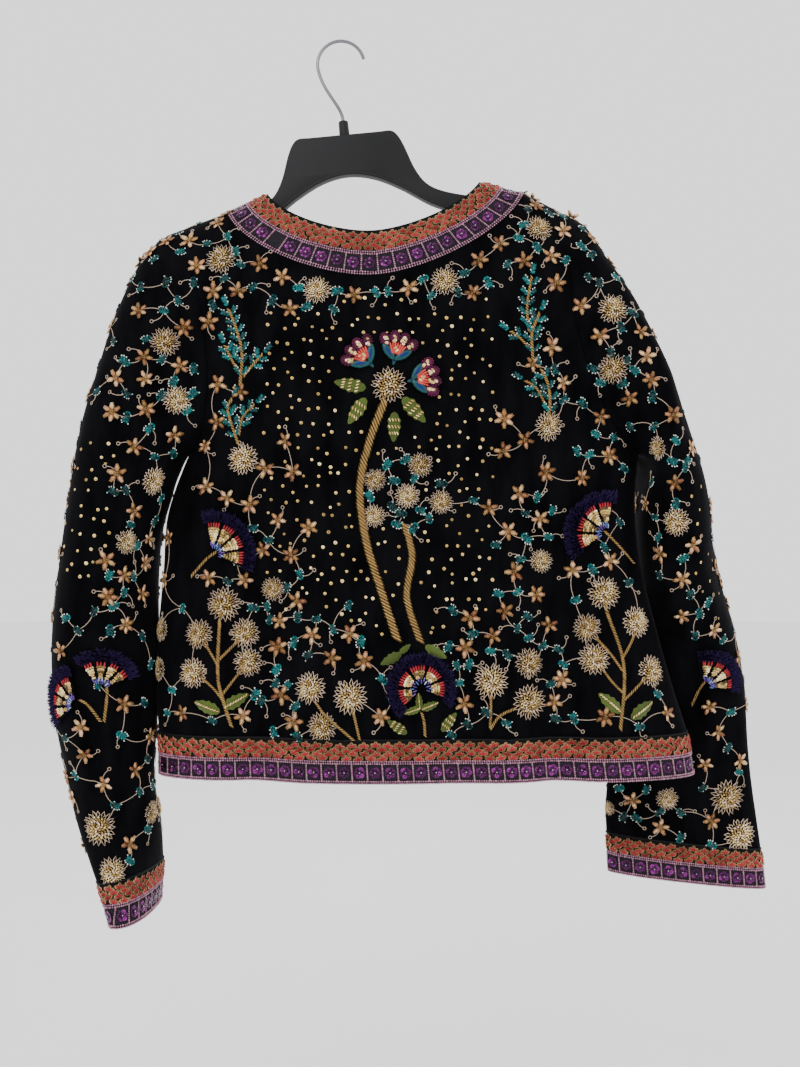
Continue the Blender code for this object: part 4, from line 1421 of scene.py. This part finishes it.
def gold_lines(chance):
    """Stalks, branches and twigs of slanting gold thread."""
    work = Needlework("gold_stalks", "gold")
    for width, points in GOLD_LINES + FERN_LINES:
        shape = stitch(width * THREAD_REACH, THREAD_RADIUS[0] * width + THREAD_RADIUS[1])
        path = smooth_path(points, THREAD_STEP[0] * width + THREAD_STEP[1])
        for index, (before, here, after) in enumerate(zip(path, path[1:], path[2:])):
            seat = photo_seat(*here)
            if seat is None:
                continue
            turn = pixel_heading(before, after) + THREAD_SLANT
            tint = THREAD_TINTS[index % 2] + chance.uniform(-0.15, 0.15)
            work.lay(shape, seat, turn, chance.uniform(0.9, 1.1), THREAD_LIFTS[index % 2], tint)
    work.done()


def fern_leaves(chance):
    """Pairs of small teal leaves up the gold twigs, and one at each tip."""
    work = Needlework("fern_leaves", "teal", "silver")
    shapes = [fern_leaf(chance) for _ in range(3)]
    for _, points in FERN_LINES:
        path = smooth_path(points, FERN_STEP)
        for here, after in zip(path[1:], path[2:]):
            heading = pixel_heading(here, after)
            seat = photo_seat(*here)
            if seat is None:
                continue
            for side in (-1, 1):
                turn = heading + side * chance.uniform(0.6, 0.9)
                shape = chance.choice(shapes)
                work.lay(shape, seat, turn, chance.uniform(1.0, 1.25), 0.2, chance.uniform(0.3, 0.9))
        tip = photo_seat(*path[-1])
        if tip:
            work.lay(chance.choice(shapes), tip, heading, FERN_TIP_SIZE, 0.2, chance.uniform(0.3, 0.9))
    work.done()


def green_leaves(chance):
    """Olive satin leaves, some with a gold rib or bands of gold across them."""
    leaves = Needlework("satin_leaves", "olive_satin")
    ribs = Needlework("satin_leaf_gold", "pale_gold")
    leaf, rib = satin_leaf(), stitch(4.2, 0.8)
    for x, y, towards, length, trim in GREEN_LEAVES:
        seat = photo_seat(x, y)
        turn = math.radians(towards)
        size = length / LEAF_LENGTH
        leaves.drape(leaf, seat, turn, size, 0.2, chance.uniform(0.2, 0.8))
        tip = turned(seat, turn)
        for along, side in LEAF_GOLD[trim]:
            reach = tip * along * (LEAF_LENGTH / 2) + seat.normal.cross(tip) * side * leaf_width(along)
            spot = nearest_seat(seat.panel, seat.point + reach * size * MM, tip)
            lift = size * leaf_height(along, side) + 0.35
            ribs.lay(rib, spot, GOLD_SLANT, 0.7 * size, lift, chance.uniform(0.4, 0.95))
    leaves.done()
    ribs.done()


def near_pairs(seats):
    """Pairs of places on one panel that a cord can join, the shortest first."""
    pairs = []
    for a, first in enumerate(seats):
        for b, second in enumerate(seats[:a]):
            gap = (first.point - second.point).length
            if gap < LONGEST_VINE and first.panel == second.panel and first.normal.dot(second.normal) > 0:
                pairs.append((gap, a, b))
    return [(a, b) for _, a, b in sorted(pairs)]


def vine_links(seats):
    """Pairs of neighbouring places to join, with none that would close a ring."""
    group = list(range(len(seats)))

    def leader(index):
        while group[index] != index:
            index = group[index]
        return index

    links = []
    for a, b in near_pairs(seats):
        if leader(a) != leader(b):
            group[leader(a)] = leader(b)
            links.append((seats[a], seats[b]))
    return links


def bent_run(start, end, panel, bow):
    """A gently bent cord between two places, brought down on to a panel."""
    _, normal = CLOTH.nearest(panel, (start + end) / 2)
    middle = (start + end) / 2 + normal.cross(end - start) * bow
    run = []
    for share in even_shares(VINE_STEPS):
        point = start.lerp(middle, share).lerp(middle.lerp(end, share), share)
        place, normal = CLOTH.nearest(panel, point)
        run.append(place + normal * VINE_LIFT)
    return run


def freest_end(seat, seats, reach, chance):
    """The place at a reach from a seat that is furthest from every other one, after how far that is."""
    others = [other.point for other in seats if other is not seat]
    start = chance.uniform(0, math.tau)
    ends = [seat.point + turned(seat, start + turn) * reach for turn in whole_turn(CURL_TRIES)]
    rooms = [min((other - end).length for other in others) for end in ends]
    best = max(range(CURL_TRIES), key=lambda index: rooms[index])
    return rooms[best], ends[best]


def tendrils(seats, chance):
    """Fine beige cords that join the flowers and leaves, and short ones that end in a ring."""
    runs = []
    for a, b in vine_links(seats):
        bow = chance.choice((-1, 1)) * chance.uniform(*VINE_BOWS)
        runs.append(bent_run(a.point, b.point, a.panel, bow))
    rings = Needlework("tendril_rings", "cord")
    ring = bead_ring()
    for seat in seats:
        room, end = freest_end(seat, seats, chance.uniform(0.85, 1.35) * CURL_REACH * MM, chance)
        if room < CURL_ROOM or chance.random() > CURL_CHANCE:
            continue
        run = bent_run(seat.point, end, seat.panel, chance.choice((-CURL_BOW, CURL_BOW)))
        runs.append(run)
        heading = (run[-1] - run[-2]).normalized()
        spot = nearest_seat(seat.panel, run[-1] + heading * RING_RADIUS * MM)
        rings.lay(ring, spot, lift=0.2, tint=chance.uniform(0.4, 0.9))
    rings.done()
    piece("tendrils", "velvet", cord_mesh("tendrils", runs, VINE_RADIUS), "cord")


def side_seats(sleeve, towards, chance):
    """Places down the outer side of a sleeve, which the camera sees only edge on."""
    low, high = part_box(sleeve)
    seats = []
    height = high[2] - SIDE_TOP
    row = 0
    while height > low[2] + SIDE_BOTTOM:
        for across in SIDE_ROWS[row % 2]:
            middle = (low[1] + high[1]) / 2 + across + chance.uniform(-SIDE_STRAY, SIDE_STRAY)
            origin = Vector((towards, middle, height + chance.uniform(-SIDE_RISE, SIDE_RISE)))
            point, normal = CLOTH.met(sleeve, origin, Vector((-towards, 0, 0)))
            if point is not None:
                seats.append(seat_at(sleeve, point, normal, Vector((0, 1, 0))))
        height -= SIDE_STEP
        row += 1
    return seats


def ridge_seats(chance):
    """Places along the top of the shoulders, which the camera sees only edge on."""
    seats = []
    across = CAD_BOX[0].x
    while across < CAD_BOX[1].x:
        origin = Vector((across, chance.uniform(*RIDGE_DEPTHS) * MM, CAD_BOX[1].z))
        seats.append(seen_seat(origin, Vector((0, 0, -1))))
        across += RIDGE_STEP
    return [seat for seat in seats if seat]


def photo_daisies(work, shapes, far, chance):
    """Daisies where the photograph shows them, or behind there on the far side. Returns their places."""
    seats = []
    for x, y, width in DAISIES:
        seat = photo_seat(x, y, far)
        if seat and not (far and FRONT_GAP[0] < x < FRONT_GAP[1]):
            seats.append(seat)
            tint = chance.uniform(0.45, 0.95)
            shape = chance.choice(shapes)
            work.drape(shape, seat, chance.uniform(0, 1), width / DAISY_WIDTH, tint=tint)
    return seats


Spray = namedtuple("Spray", "work shapes places tints sizes")


def photo_sprays(spray, far, chance):
    """Florets or leaves where the photograph shows them, or behind there. Returns their places."""
    seats = [seat for seat in (photo_seat(x, y, far) for x, y in spray.places) if seat]
    for seat in seats:
        tint = chance.uniform(*spray.tints)
        shape = chance.choice(spray.shapes)
        turn = chance.uniform(0, math.tau)
        spray.work.lay(shape, seat, turn, chance.uniform(*spray.sizes), tint=tint)
    return seats


def edge_sprays(kinds, seats, chance):
    """Florets and leaves by turns at places seen only edge on, where there is room. Adds to the places."""
    groups = [side_seats(sleeve, towards, chance) for sleeve, towards in zip(SLEEVES, (-1, 1))]
    for group in (*groups, ridge_seats(chance)):
        for index, seat in enumerate(group):
            if min((seat.point - other.point).length for other in seats) < SPRAY_GAP:
                continue
            seats.append(seat)
            spray = kinds[index % 2]
            shape = chance.choice(spray.shapes)
            spray.work.lay(shape, seat, chance.uniform(0, math.tau), tint=chance.uniform(0.2, 0.9))


def sprays(chance):
    """Daisies, florets and beaded leaves on back and sleeves, fewer in front, and cords between them."""
    daisies = Needlework("daisies", "champagne", "pale_gold", "gold")
    florets = Needlework("florets", "copper", "gold", "rose")
    leaves = Needlework("bead_leaves", "teal", "silver")
    daisy_shapes = [daisy(chance) for _ in range(3)]
    floret_shapes = [floret(petals, chance) for petals in (5, 5, 5, 6)]
    leaf_shapes = [bead_leaf(chance) for _ in range(5)]
    kinds = (
        Spray(florets, floret_shapes, FLORETS, tints=(0.35, 0.85), sizes=(0.9, 1.1)),
        Spray(leaves, leaf_shapes, LEAVES, tints=(0.2, 0.95), sizes=(0.95, 1.2)),
    )
    seats = []
    for far in (False, True):
        seats += photo_daisies(daisies, daisy_shapes, far, chance)
        for spray in kinds:
            seats += photo_sprays(spray, far, chance)
    edge_sprays(kinds, seats, chance)
    for work in (daisies, florets, leaves):
        work.done()
    tendrils(seats, chance)


def taken_places():
    """What the scattered sequins keep clear of: x, y and radius in pixels."""
    taken = [(x, y, FLOWER_ROOM * width) for x, y, width in DAISIES]
    taken += [(x, y, SPRAY_ROOM) for x, y in FLORETS + LEAVES]
    taken += [(x, y, FLOWER_ROOM * length) for x, y, _, length, _ in GREEN_LEAVES]
    taken += [(*photo_pixel(fan_seat(fan).point), fan.outer) for fan in BLOSSOMS + FANS]
    for width, points in GOLD_LINES:
        taken += [(*place, LINE_ROOM * width) for place in smooth_path(points, LINE_ROOM_STEP)]
    return taken


def scattered_sequins(chance):
    """Gold sequins over the middle of the back, between the stalks, and on the bare parts of the sleeves."""
    work = Needlework("scattered_sequins", "pale_gold")
    shape = sequin(SEQUIN_RADIUS)
    taken = taken_places()
    for left, right, top, bottom in SEQUIN_FIELDS:
        for row in range(int((bottom - top) / SEQUIN_STEP)):
            for column in range(int((right - left) / SEQUIN_STEP)):
                aside = chance.uniform(-SEQUIN_STRAY, SEQUIN_STRAY)
                x = left + (column + 0.5 * (row % 2) + aside) * SEQUIN_STEP
                y = top + (row + chance.uniform(-SEQUIN_STRAY, SEQUIN_STRAY)) * SEQUIN_STEP
                seat = photo_seat(x, y)
                if seat and all(math.hypot(x - a, y - b) > room + SEQUIN_GAP for a, b, room in taken):
                    size, tint = chance.uniform(0.8, 1.1), chance.uniform(0.1, 0.9)
                    work.lay(shape, seat, size=size, lift=0.2, tint=tint, tilt=0.15)
    work.done()


# Fan flowers

# Middle in millimetres, where it opens in degrees from +X, spread in degrees, inner and outer radius
Fan = namedtuple("Fan", "name panel x z open_towards spread inner outer")
FANS = (
    Fan("fan_back_left", "back", -98, -458, 40, 126, 6, 37),
    Fan("fan_back_right", "back", 224, -441, 145, 134, 6, 37),
    Fan("fan_back_centre", "back", 73, -587, 101, 255, 5, 29),
    Fan("fan_left_sleeve_back", "sleeve_left", -205, -572, 72, 108, 6, 34),
    Fan("fan_left_sleeve_outer", "sleeve_left", -244, -596, 160, 116, 6, 34),
    Fan("fan_right_sleeve_back", "sleeve_right", 350, -581, 45, 116, 6, 35),
    Fan("fan_front_left", "front_left", -98, -462, 40, 126, 6, 37),
    Fan("fan_front_right", "front_right", 222, -446, 140, 130, 6, 37),
)
BLOSSOMS = (
    Fan("blossom_left", "back", 20, -293, 135, 84, 4, 25),
    Fan("blossom_top", "back", 52, -287, 76, 84, 4, 25),
    Fan("blossom_right", "back", 76, -314, 10, 84, 4, 25),
)
ROUND_SPREAD = 180
PAD_TOP = 3.2
RIM_WIDTH = 9
WEDGE_GAP = 3.2
PILE_DENSITY = 22
PILE_SINK = 1.2

# Fan stitches and sequins: spacings, and how far the sequins keep from the base, then from the rim
CORAL_STEP = 2.5
CORAL_INSET = 1.6
SCALE_STEP = 2.4
SCALE_ROW_STEP = 2.3
SCALE_INSETS = (5.0, 4.5)
WEDGE_TINTS = (0.2, 0.62)
BUGLES = 14
BUGLE_REACHES = (1.2, 3.4)

# Blossoms: lobes and heart stitches at shares of the half spread, and their distances from rim or base
LOBE_SHARES = (-0.84, -0.28, 0.28, 0.84)
LOBE_INSET = 4.6
LOBE_SEQUINS = 9
HEART_STITCHES = 7
HEART_REACHES = (5.4, 9.6)
HEART_SHARE = 0.72
HEART_SEQUINS = 5
CUP_REACH = 5.8
CUP_SHARE = 1.02

# Petals of a blossom in millimetres: half length, half width, height
PLUM_LOBE = (6.0, 4.2, 2.0)
TEAL_CUP = (9.2, 4.0, 1.7)
BLUE_MIDDLE = (6.2, 1.7, 1.6)


def fan_seat(fan):
    """A fan's base on its panel, with X along the fan's middle."""
    facing = 1 if fan.panel.startswith("front") else -1
    outside = Vector((fan.x * MM, facing, fan.z * MM))
    point, normal = CLOTH.met(fan.panel, outside, Vector((0, -facing, 0)))
    level = seat_at(fan.panel, point, normal)
    top = level.up * math.copysign(1, level.up.z)
    turn = math.radians(fan.open_towards)
    along = level.right * math.cos(turn) + top * math.sin(turn)
    base = point - along * fan.outer / 2 * MM if fan.spread < ROUND_SPREAD else point
    return seat_at(fan.panel, base, normal, along)


def fan_spot(seat, radius, angle):
    """A place on a fan, with X pointing away from its base."""
    outwards = turned(seat, angle)
    return nearest_seat(seat.panel, seat.point + outwards * radius * MM, outwards)


def spread_out(half, count):
    """Angles of a number of things side by side, up to half a spread to each side."""
    return [half * (2 * (step + 0.5) / count - 1) for step in range(count)]


def add_pad(work, fan):
    """The raised velvet ground of a fan, on its solid's form."""
    bm = paired_copy(fan.name)
    bmesh.ops.triangulate(bm, faces=bm.faces)
    for face in bm.faces:
        face.material_index = 1
    mesh = mesh_of(fan.name, bm)
    press_creases(mesh, fan.panel)
    work.keep(mesh, np.zeros(len(mesh.vertices)))


def pile_fibre():
    """One tuft of the thread pile."""
    bm = blank_shape()
    place = moved(z=3)
    bmesh.ops.create_cone(bm, cap_ends=True, segments=3, radius1=0.6, radius2=0.15, depth=6, matrix=place)
    return Shape(bm)


def fan_rim(work, fibre, seat, half, outer, chance):
    """The deep pile round a fan's edge, leaning outwards."""
    rim = outer - RIM_WIDTH
    for _ in range(int(PILE_DENSITY * half * outer)):
        radius = chance.uniform(rim, outer - 1)
        spot = fan_spot(seat, radius, chance.uniform(-half, half) * 1.04)
        lean = 0.25 + 0.75 * (radius - rim) / RIM_WIDTH + chance.uniform(-0.25, 0.25)
        size = chance.uniform(0.7, 1.15)
        turn = chance.uniform(-0.5, 0.5)
        work.lay(fibre, spot, turn, size, PAD_TOP - PILE_SINK, chance.uniform(0.05, 1.0), lean)


def wedge_room(share, radius):
    """Half the angle that a wedge fills at a radius, less the bare strip beside it."""
    return max(0.0, share - WEDGE_GAP / 2 / radius)


def wedge_stitches(work, shape, seat, middle, share, rim, chance):
    """Coral stitches side by side along a wedge's rim."""
    room = wedge_room(share, rim)
    for aside in spread_out(room, round(2 * room * rim / CORAL_STEP)):
        spot = fan_spot(seat, rim - CORAL_INSET, middle + aside)
        work.lay(shape, spot, lift=PAD_TOP + 0.2, tint=chance.uniform(0.35, 1.0))


def wedge_sequins(work, shape, seat, middle, share, reach, bright, chance):
    """Rows of gold sequins that overlap like scales, over a wedge's reach from its base to its rim."""
    radius, end = reach
    while radius < end:
        room = wedge_room(share, radius)
        for aside in spread_out(room, max(1, round(2 * room * radius / SCALE_STEP))):
            # The wide random spread of tint paints glints on some sequins, in place of light that catches
            # them
            tint = bright + chance.uniform(-0.5, 0.5)
            tilt = chance.uniform(-0.65, -0.1)
            spot = fan_spot(seat, radius, middle + aside)
            work.lay(shape, spot, lift=PAD_TOP + 0.2, tint=tint, tilt=tilt)
        radius += SCALE_ROW_STEP


def fan_base(work, shape, seat, half, inner, chance):
    """Dark shot bugles round a fan's base, a rare few tinted pale as painted glints."""
    for step, angle in enumerate(spread_out(half, BUGLES)):
        spot = fan_spot(seat, inner + BUGLE_REACHES[step % 2], angle)
        # Tints lean dark; the rare pale bugles are painted glints
        work.lay(shape, spot, lift=PAD_TOP - 0.2, tint=chance.random() ** 1.6)


def fan_flowers(chance):
    """Fans: a rim of thread pile, coral stitches, wedges of gold sequins and shining bugles at the base."""
    pile = Needlework("fan_pile", "pile", "velvet")
    coral = Needlework("fan_coral_stitches", "coral")
    gold = Needlework("fan_sequins", "pale_gold")
    bugles = Needlework("fan_bugles", "bugle")
    fibre, thick, scale, tube = pile_fibre(), stitch(6.0, 1.0), sequin(1.9), stitch(5.2, 0.8)
    for fan in FANS:
        add_pad(pile, fan)
        seat = fan_seat(fan)
        half = math.radians(fan.spread) / 2
        rim = fan.outer - RIM_WIDTH
        fan_rim(pile, fibre, seat, half, fan.outer, chance)
        wedges = 5 if fan.spread > ROUND_SPREAD else 4
        share = half / wedges
        reach = (fan.inner + SCALE_INSETS[0], rim - SCALE_INSETS[1])
        for wedge, middle in enumerate(spread_out(half, wedges)):
            wedge_stitches(coral, thick, seat, middle, share, rim, chance)
            wedge_sequins(gold, scale, seat, middle, share, reach, WEDGE_TINTS[wedge % 2], chance)
        fan_base(bugles, tube, seat, half, fan.inner, chance)
    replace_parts(pile.done("fan_pile"), *(fan.name for fan in FANS))
    for work in (coral, gold, bugles):
        work.done("fan_pile")


def plum_lobe():
    """A plum lobe with a beaded edge."""
    bm = blank_shape()
    add_petal(bm, moved(z=0.4), PLUM_LOBE, material=0, sides=10, rings=6, point=0.2)
    for step in range(-4, 5):
        turn = 0.42 * step
        add_bead(bm, moved(5.9 * math.cos(turn), 4.2 * math.sin(turn), 0.6), radius=1.15)
    return Shape(bm)


def cup_petal():
    """A teal cup petal with a royal-blue middle."""
    bm = blank_shape()
    add_petal(bm, moved(z=0.6), TEAL_CUP, material=0, sides=10, rings=6, point=0.25)
    add_petal(bm, moved(x=0.2, z=1.15), BLUE_MIDDLE, material=1, sides=8, rings=6, point=0.3)
    return Shape(bm)


def lobe_sequins(work, shape, seat, radius, angle, chance):
    """Sequins scattered over a plum lobe."""
    for _ in range(LOBE_SEQUINS):
        reach = radius + chance.uniform(-3.6, 2.6)
        spot = fan_spot(seat, reach, angle + chance.uniform(-0.07, 0.07))
        tint, tilt = chance.uniform(0.2, 1.0), chance.uniform(-0.4, 0.4)
        work.lay(shape, spot, size=0.85, lift=PAD_TOP + 1.7, tint=tint, tilt=tilt)


def blossom_heart(hearts, thick, gold, scale, seat, half, inner, chance):
    """Two rows of coral stitches at a blossom's heart, with a line of sequins down the middle."""
    for reach in HEART_REACHES:
        for angle in spread_out(half * HEART_SHARE, HEART_STITCHES):
            spot = fan_spot(seat, inner + reach, angle)
            hearts.lay(thick, spot, lift=PAD_TOP + 0.4, tint=chance.uniform(0.4, 1.0))
    for step in range(HEART_SEQUINS):
        spot = fan_spot(seat, inner + 4.5 + step, chance.uniform(-0.2, 0.2))
        tint = chance.uniform(0.2, 0.9)
        gold.lay(scale, spot, size=0.8, lift=PAD_TOP + 1.5, tint=tint, tilt=0.3)


def blossoms(chance):
    """Blossoms atop the tall stalk: plum lobes with sequins, a coral heart and two teal cup petals."""
    lobes = Needlework("blossom_lobes", "plum", "velvet")
    hearts = Needlework("blossom_hearts", "heart")
    gold = Needlework("blossom_sequins", "pale_gold")
    cups = Needlework("blossom_cups", "teal", "blue")
    lobe, cup, thick, scale = plum_lobe(), cup_petal(), stitch(7.5, 1.1), sequin(SEQUIN_RADIUS)
    for fan in BLOSSOMS:
        add_pad(lobes, fan)
        seat = fan_seat(fan)
        half = math.radians(fan.spread) / 2
        radius = fan.outer - LOBE_INSET
        for share in LOBE_SHARES:
            spot = fan_spot(seat, radius, half * share)
            lobes.lay(lobe, spot, size=1.05, lift=PAD_TOP - 0.3, tint=chance.uniform(0.2, 0.9))
            lobe_sequins(gold, scale, seat, radius, half * share, chance)
        blossom_heart(hearts, thick, gold, scale, seat, half, fan.inner, chance)
        for side in (-1, 1):
            spot = fan_spot(seat, fan.inner + CUP_REACH, side * half * CUP_SHARE)
            cups.lay(cup, spot, side * 0.1, lift=PAD_TOP - 0.2, tint=chance.uniform(0.4, 0.6))
        cups.lay(cup, fan_spot(seat, 0.6, 0), size=0.42, lift=0.6, tint=0.5)
    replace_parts(lobes.done("blossom_thread"), *(fan.name for fan in BLOSSOMS))
    for work in (hearts, gold, cups):
        work.done("blossom_thread")


# Hanger

# In its own upright frame, in millimetres: half width, and height from the plate's top
HANGER_TOP = (
    (0, 0), (18, 0), (32, 0), (42, 0), (47, -4), (52, -14), (60, -36), (70, -51),
    (86, -60), (115, -68), (145, -75), (172, -82),
)
HANGER_UNDER = ((176, -94), (140, -87), (100, -78), (74, -67), (48, -50), (24, -38), (0, -33.5))
HANGER_THICKNESS = 11
HANGER_EDGE = 1.6
LIP_PROUD = 0.5
LIP_EDGE = 0.9
LIP_LOW, LIP_HIGH = -0.9, 0.4
HANGER_CENTRE = Vector((3.5, 0, -87.4)) * MM
HANGER_TILT = math.radians(5.4)
STUB_RADIUS = 4.4
STUB_LOW, STUB_HIGH = -4, 15
STUB_FLARE = 1.12
STUB_SIDES = 32
STUB_EDGE = 0.8
OUTLINE_STEP = 2.5


def flat_mesh(name, path, depth, edge):
    """A flat outline of even depth with rounded edges, upright in the hanger's own frame."""
    data = bpy.data.curves.new(name, "CURVE")
    data.dimensions = "2D"
    data.fill_mode = "BOTH"
    data.extrude = (depth / 2 - edge) * MM
    data.bevel_depth = edge * MM
    data.bevel_resolution = 2
    add_line(data, [(place.x * MM, place.y * MM, 0) for place in path], closed=True)
    mesh = curve_mesh(data)
    mesh.transform(Matrix.Rotation(math.pi / 2, 4, "X"))
    return mesh


def hard_piece(name, slot, node, bm, finish, sharp):
    """A smooth hard piece that stands for a CAD node, its edges past an angle kept sharp."""
    mesh = mesh_of(name, bm)
    mesh.shade_smooth()
    mesh.set_sharp_from_angle(angle=sharp)
    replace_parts(piece(name, slot, mesh, finish), node)


def add_plate(bm):
    """The hanger's plate with its arms, and the lip under its arch."""
    top = [(-x, z) for x, z in reversed(HANGER_TOP[1:])] + list(HANGER_TOP)
    under = list(HANGER_UNDER) + [(-x, z) for x, z in reversed(HANGER_UNDER[:-1])]
    outline = smooth_path(top, OUTLINE_STEP) + smooth_path(under, OUTLINE_STEP)
    arch = smooth_path(under[2:-2], OUTLINE_STEP)
    lip = [place + Vector((0, LIP_LOW)) for place in arch]
    lip += [place + Vector((0, LIP_HIGH)) for place in reversed(arch)]
    plate = flat_mesh("plate", outline, HANGER_THICKNESS, HANGER_EDGE)
    for mesh in (plate, flat_mesh("lip", lip, HANGER_THICKNESS + 2 * LIP_PROUD, LIP_EDGE)):
        bm.from_mesh(mesh)
        bpy.data.meshes.remove(mesh)
    bmesh.ops.remove_doubles(bm, verts=bm.verts, dist=WELD)


def add_stub(bm):
    """The round stub that holds the hook."""
    place = Matrix.Translation((0, 0, (STUB_LOW + STUB_HIGH) / 2 * MM))
    wide, tall = STUB_RADIUS * MM, (STUB_HIGH - STUB_LOW) * MM
    sizes = {"radius1": wide * STUB_FLARE, "radius2": wide, "depth": tall}
    stub = bmesh.ops.create_cone(bm, cap_ends=True, segments=STUB_SIDES, matrix=place, **sizes)
    edges = dict.fromkeys(edge for vert in stub["verts"] for edge in vert.link_edges)
    rims = [edge for edge in edges if edge.calc_face_angle(0) > 1]
    way = {"segments": 3, "profile": 0.5, "affect": "EDGES", "material": -1}
    bmesh.ops.bevel(bm, geom=rims, offset=STUB_EDGE * MM, **way)


def hanger():
    """The plastic hanger, tilted as it hangs."""
    bm = bmesh.new()
    add_plate(bm)
    add_stub(bm)
    place = Matrix.Translation(HANGER_CENTRE) @ Matrix.Rotation(-HANGER_TILT, 4, "Y")
    bmesh.ops.transform(bm, matrix=place, verts=bm.verts)
    hard_piece("hanger_plate", "hanger_plastic", "hanger", bm, "plastic", RIM_CORNER_ANGLE)


def hook():
    """The wire hook, round and smooth."""
    hard_piece("hook_wire", "hook_steel", "hanger_hook", welded("hanger_hook"), "chrome", WALL_EDGE_ANGLE)


# Studio, in metres

FLOOR_RADIUS = 9
FLOOR_DROP = 0.35
ROOM_COLOUR = (0.95, 0.955, 0.96, 1)
ROOM_STRENGTH = 1.7
AIM = Vector((0.05, 0, -0.42))

# Name, place, size and watts of each light
LIGHTS = (
    ("key", (-0.9, -1.7, 0.9), 1.2, 18),
    ("fill", (1.5, -1.3, 0.1), 1.4, 6),
    ("behind", (0.4, 1.8, 0.8), 1.4, 14),
)


def camera():
    """The camera at the photograph's place."""
    data = bpy.data.cameras.new("camera")
    data.sensor_width = SENSOR
    data.lens = PHOTO_FOCAL * SENSOR / PHOTO_HEIGHT
    made = linked("camera", data)
    made.location = EYE
    made.rotation_euler = (math.pi / 2, 0, 0)
    bpy.context.scene.camera = made


def area_light(name, place, size, watts):
    """A soft square light aimed at the jacket's middle."""
    data = bpy.data.lights.new(name, "AREA")
    data.size = size
    data.energy = watts
    made = linked(name, data)
    made.location = place
    made.rotation_euler = (AIM - Vector(place)).to_track_quat("-Z", "Y").to_euler()


def floor():
    """A round pale floor below the jacket."""
    bm = bmesh.new()
    bmesh.ops.create_circle(bm, cap_ends=True, segments=64, radius=FLOOR_RADIUS)
    bmesh.ops.translate(bm, verts=bm.verts, vec=(0, 0, CAD_BOX[0].z - FLOOR_DROP))
    mesh = mesh_of("floor", bm)
    mesh.materials.append(FINISHES["floor"])
    linked("floor", mesh)


def studio():
    """Floor, pale surroundings and soft lights on every side."""
    floor()
    world = bpy.data.worlds.new("pale_room")
    world.use_nodes = True
    background = world.node_tree.nodes["Background"]
    background.inputs["Color"].default_value = ROOM_COLOUR
    background.inputs["Strength"].default_value = ROOM_STRENGTH
    bpy.context.scene.world = world
    for row in LIGHTS:
        area_light(*row)


def main():
    """Builds every piece, then the studio."""
    chance = random.Random(SEED)
    crease_cloth({node: cloth_piece(node) for node in BODY_PANELS + SLEEVES + BORDERS})
    border_beads(chance)
    seam_ribbons()
    sprays(chance)
    gold_lines(chance)
    fern_leaves(chance)
    green_leaves(chance)
    scattered_sequins(chance)
    fan_flowers(chance)
    blossoms(chance)
    hanger()
    hook()
    studio()
    camera()


main()
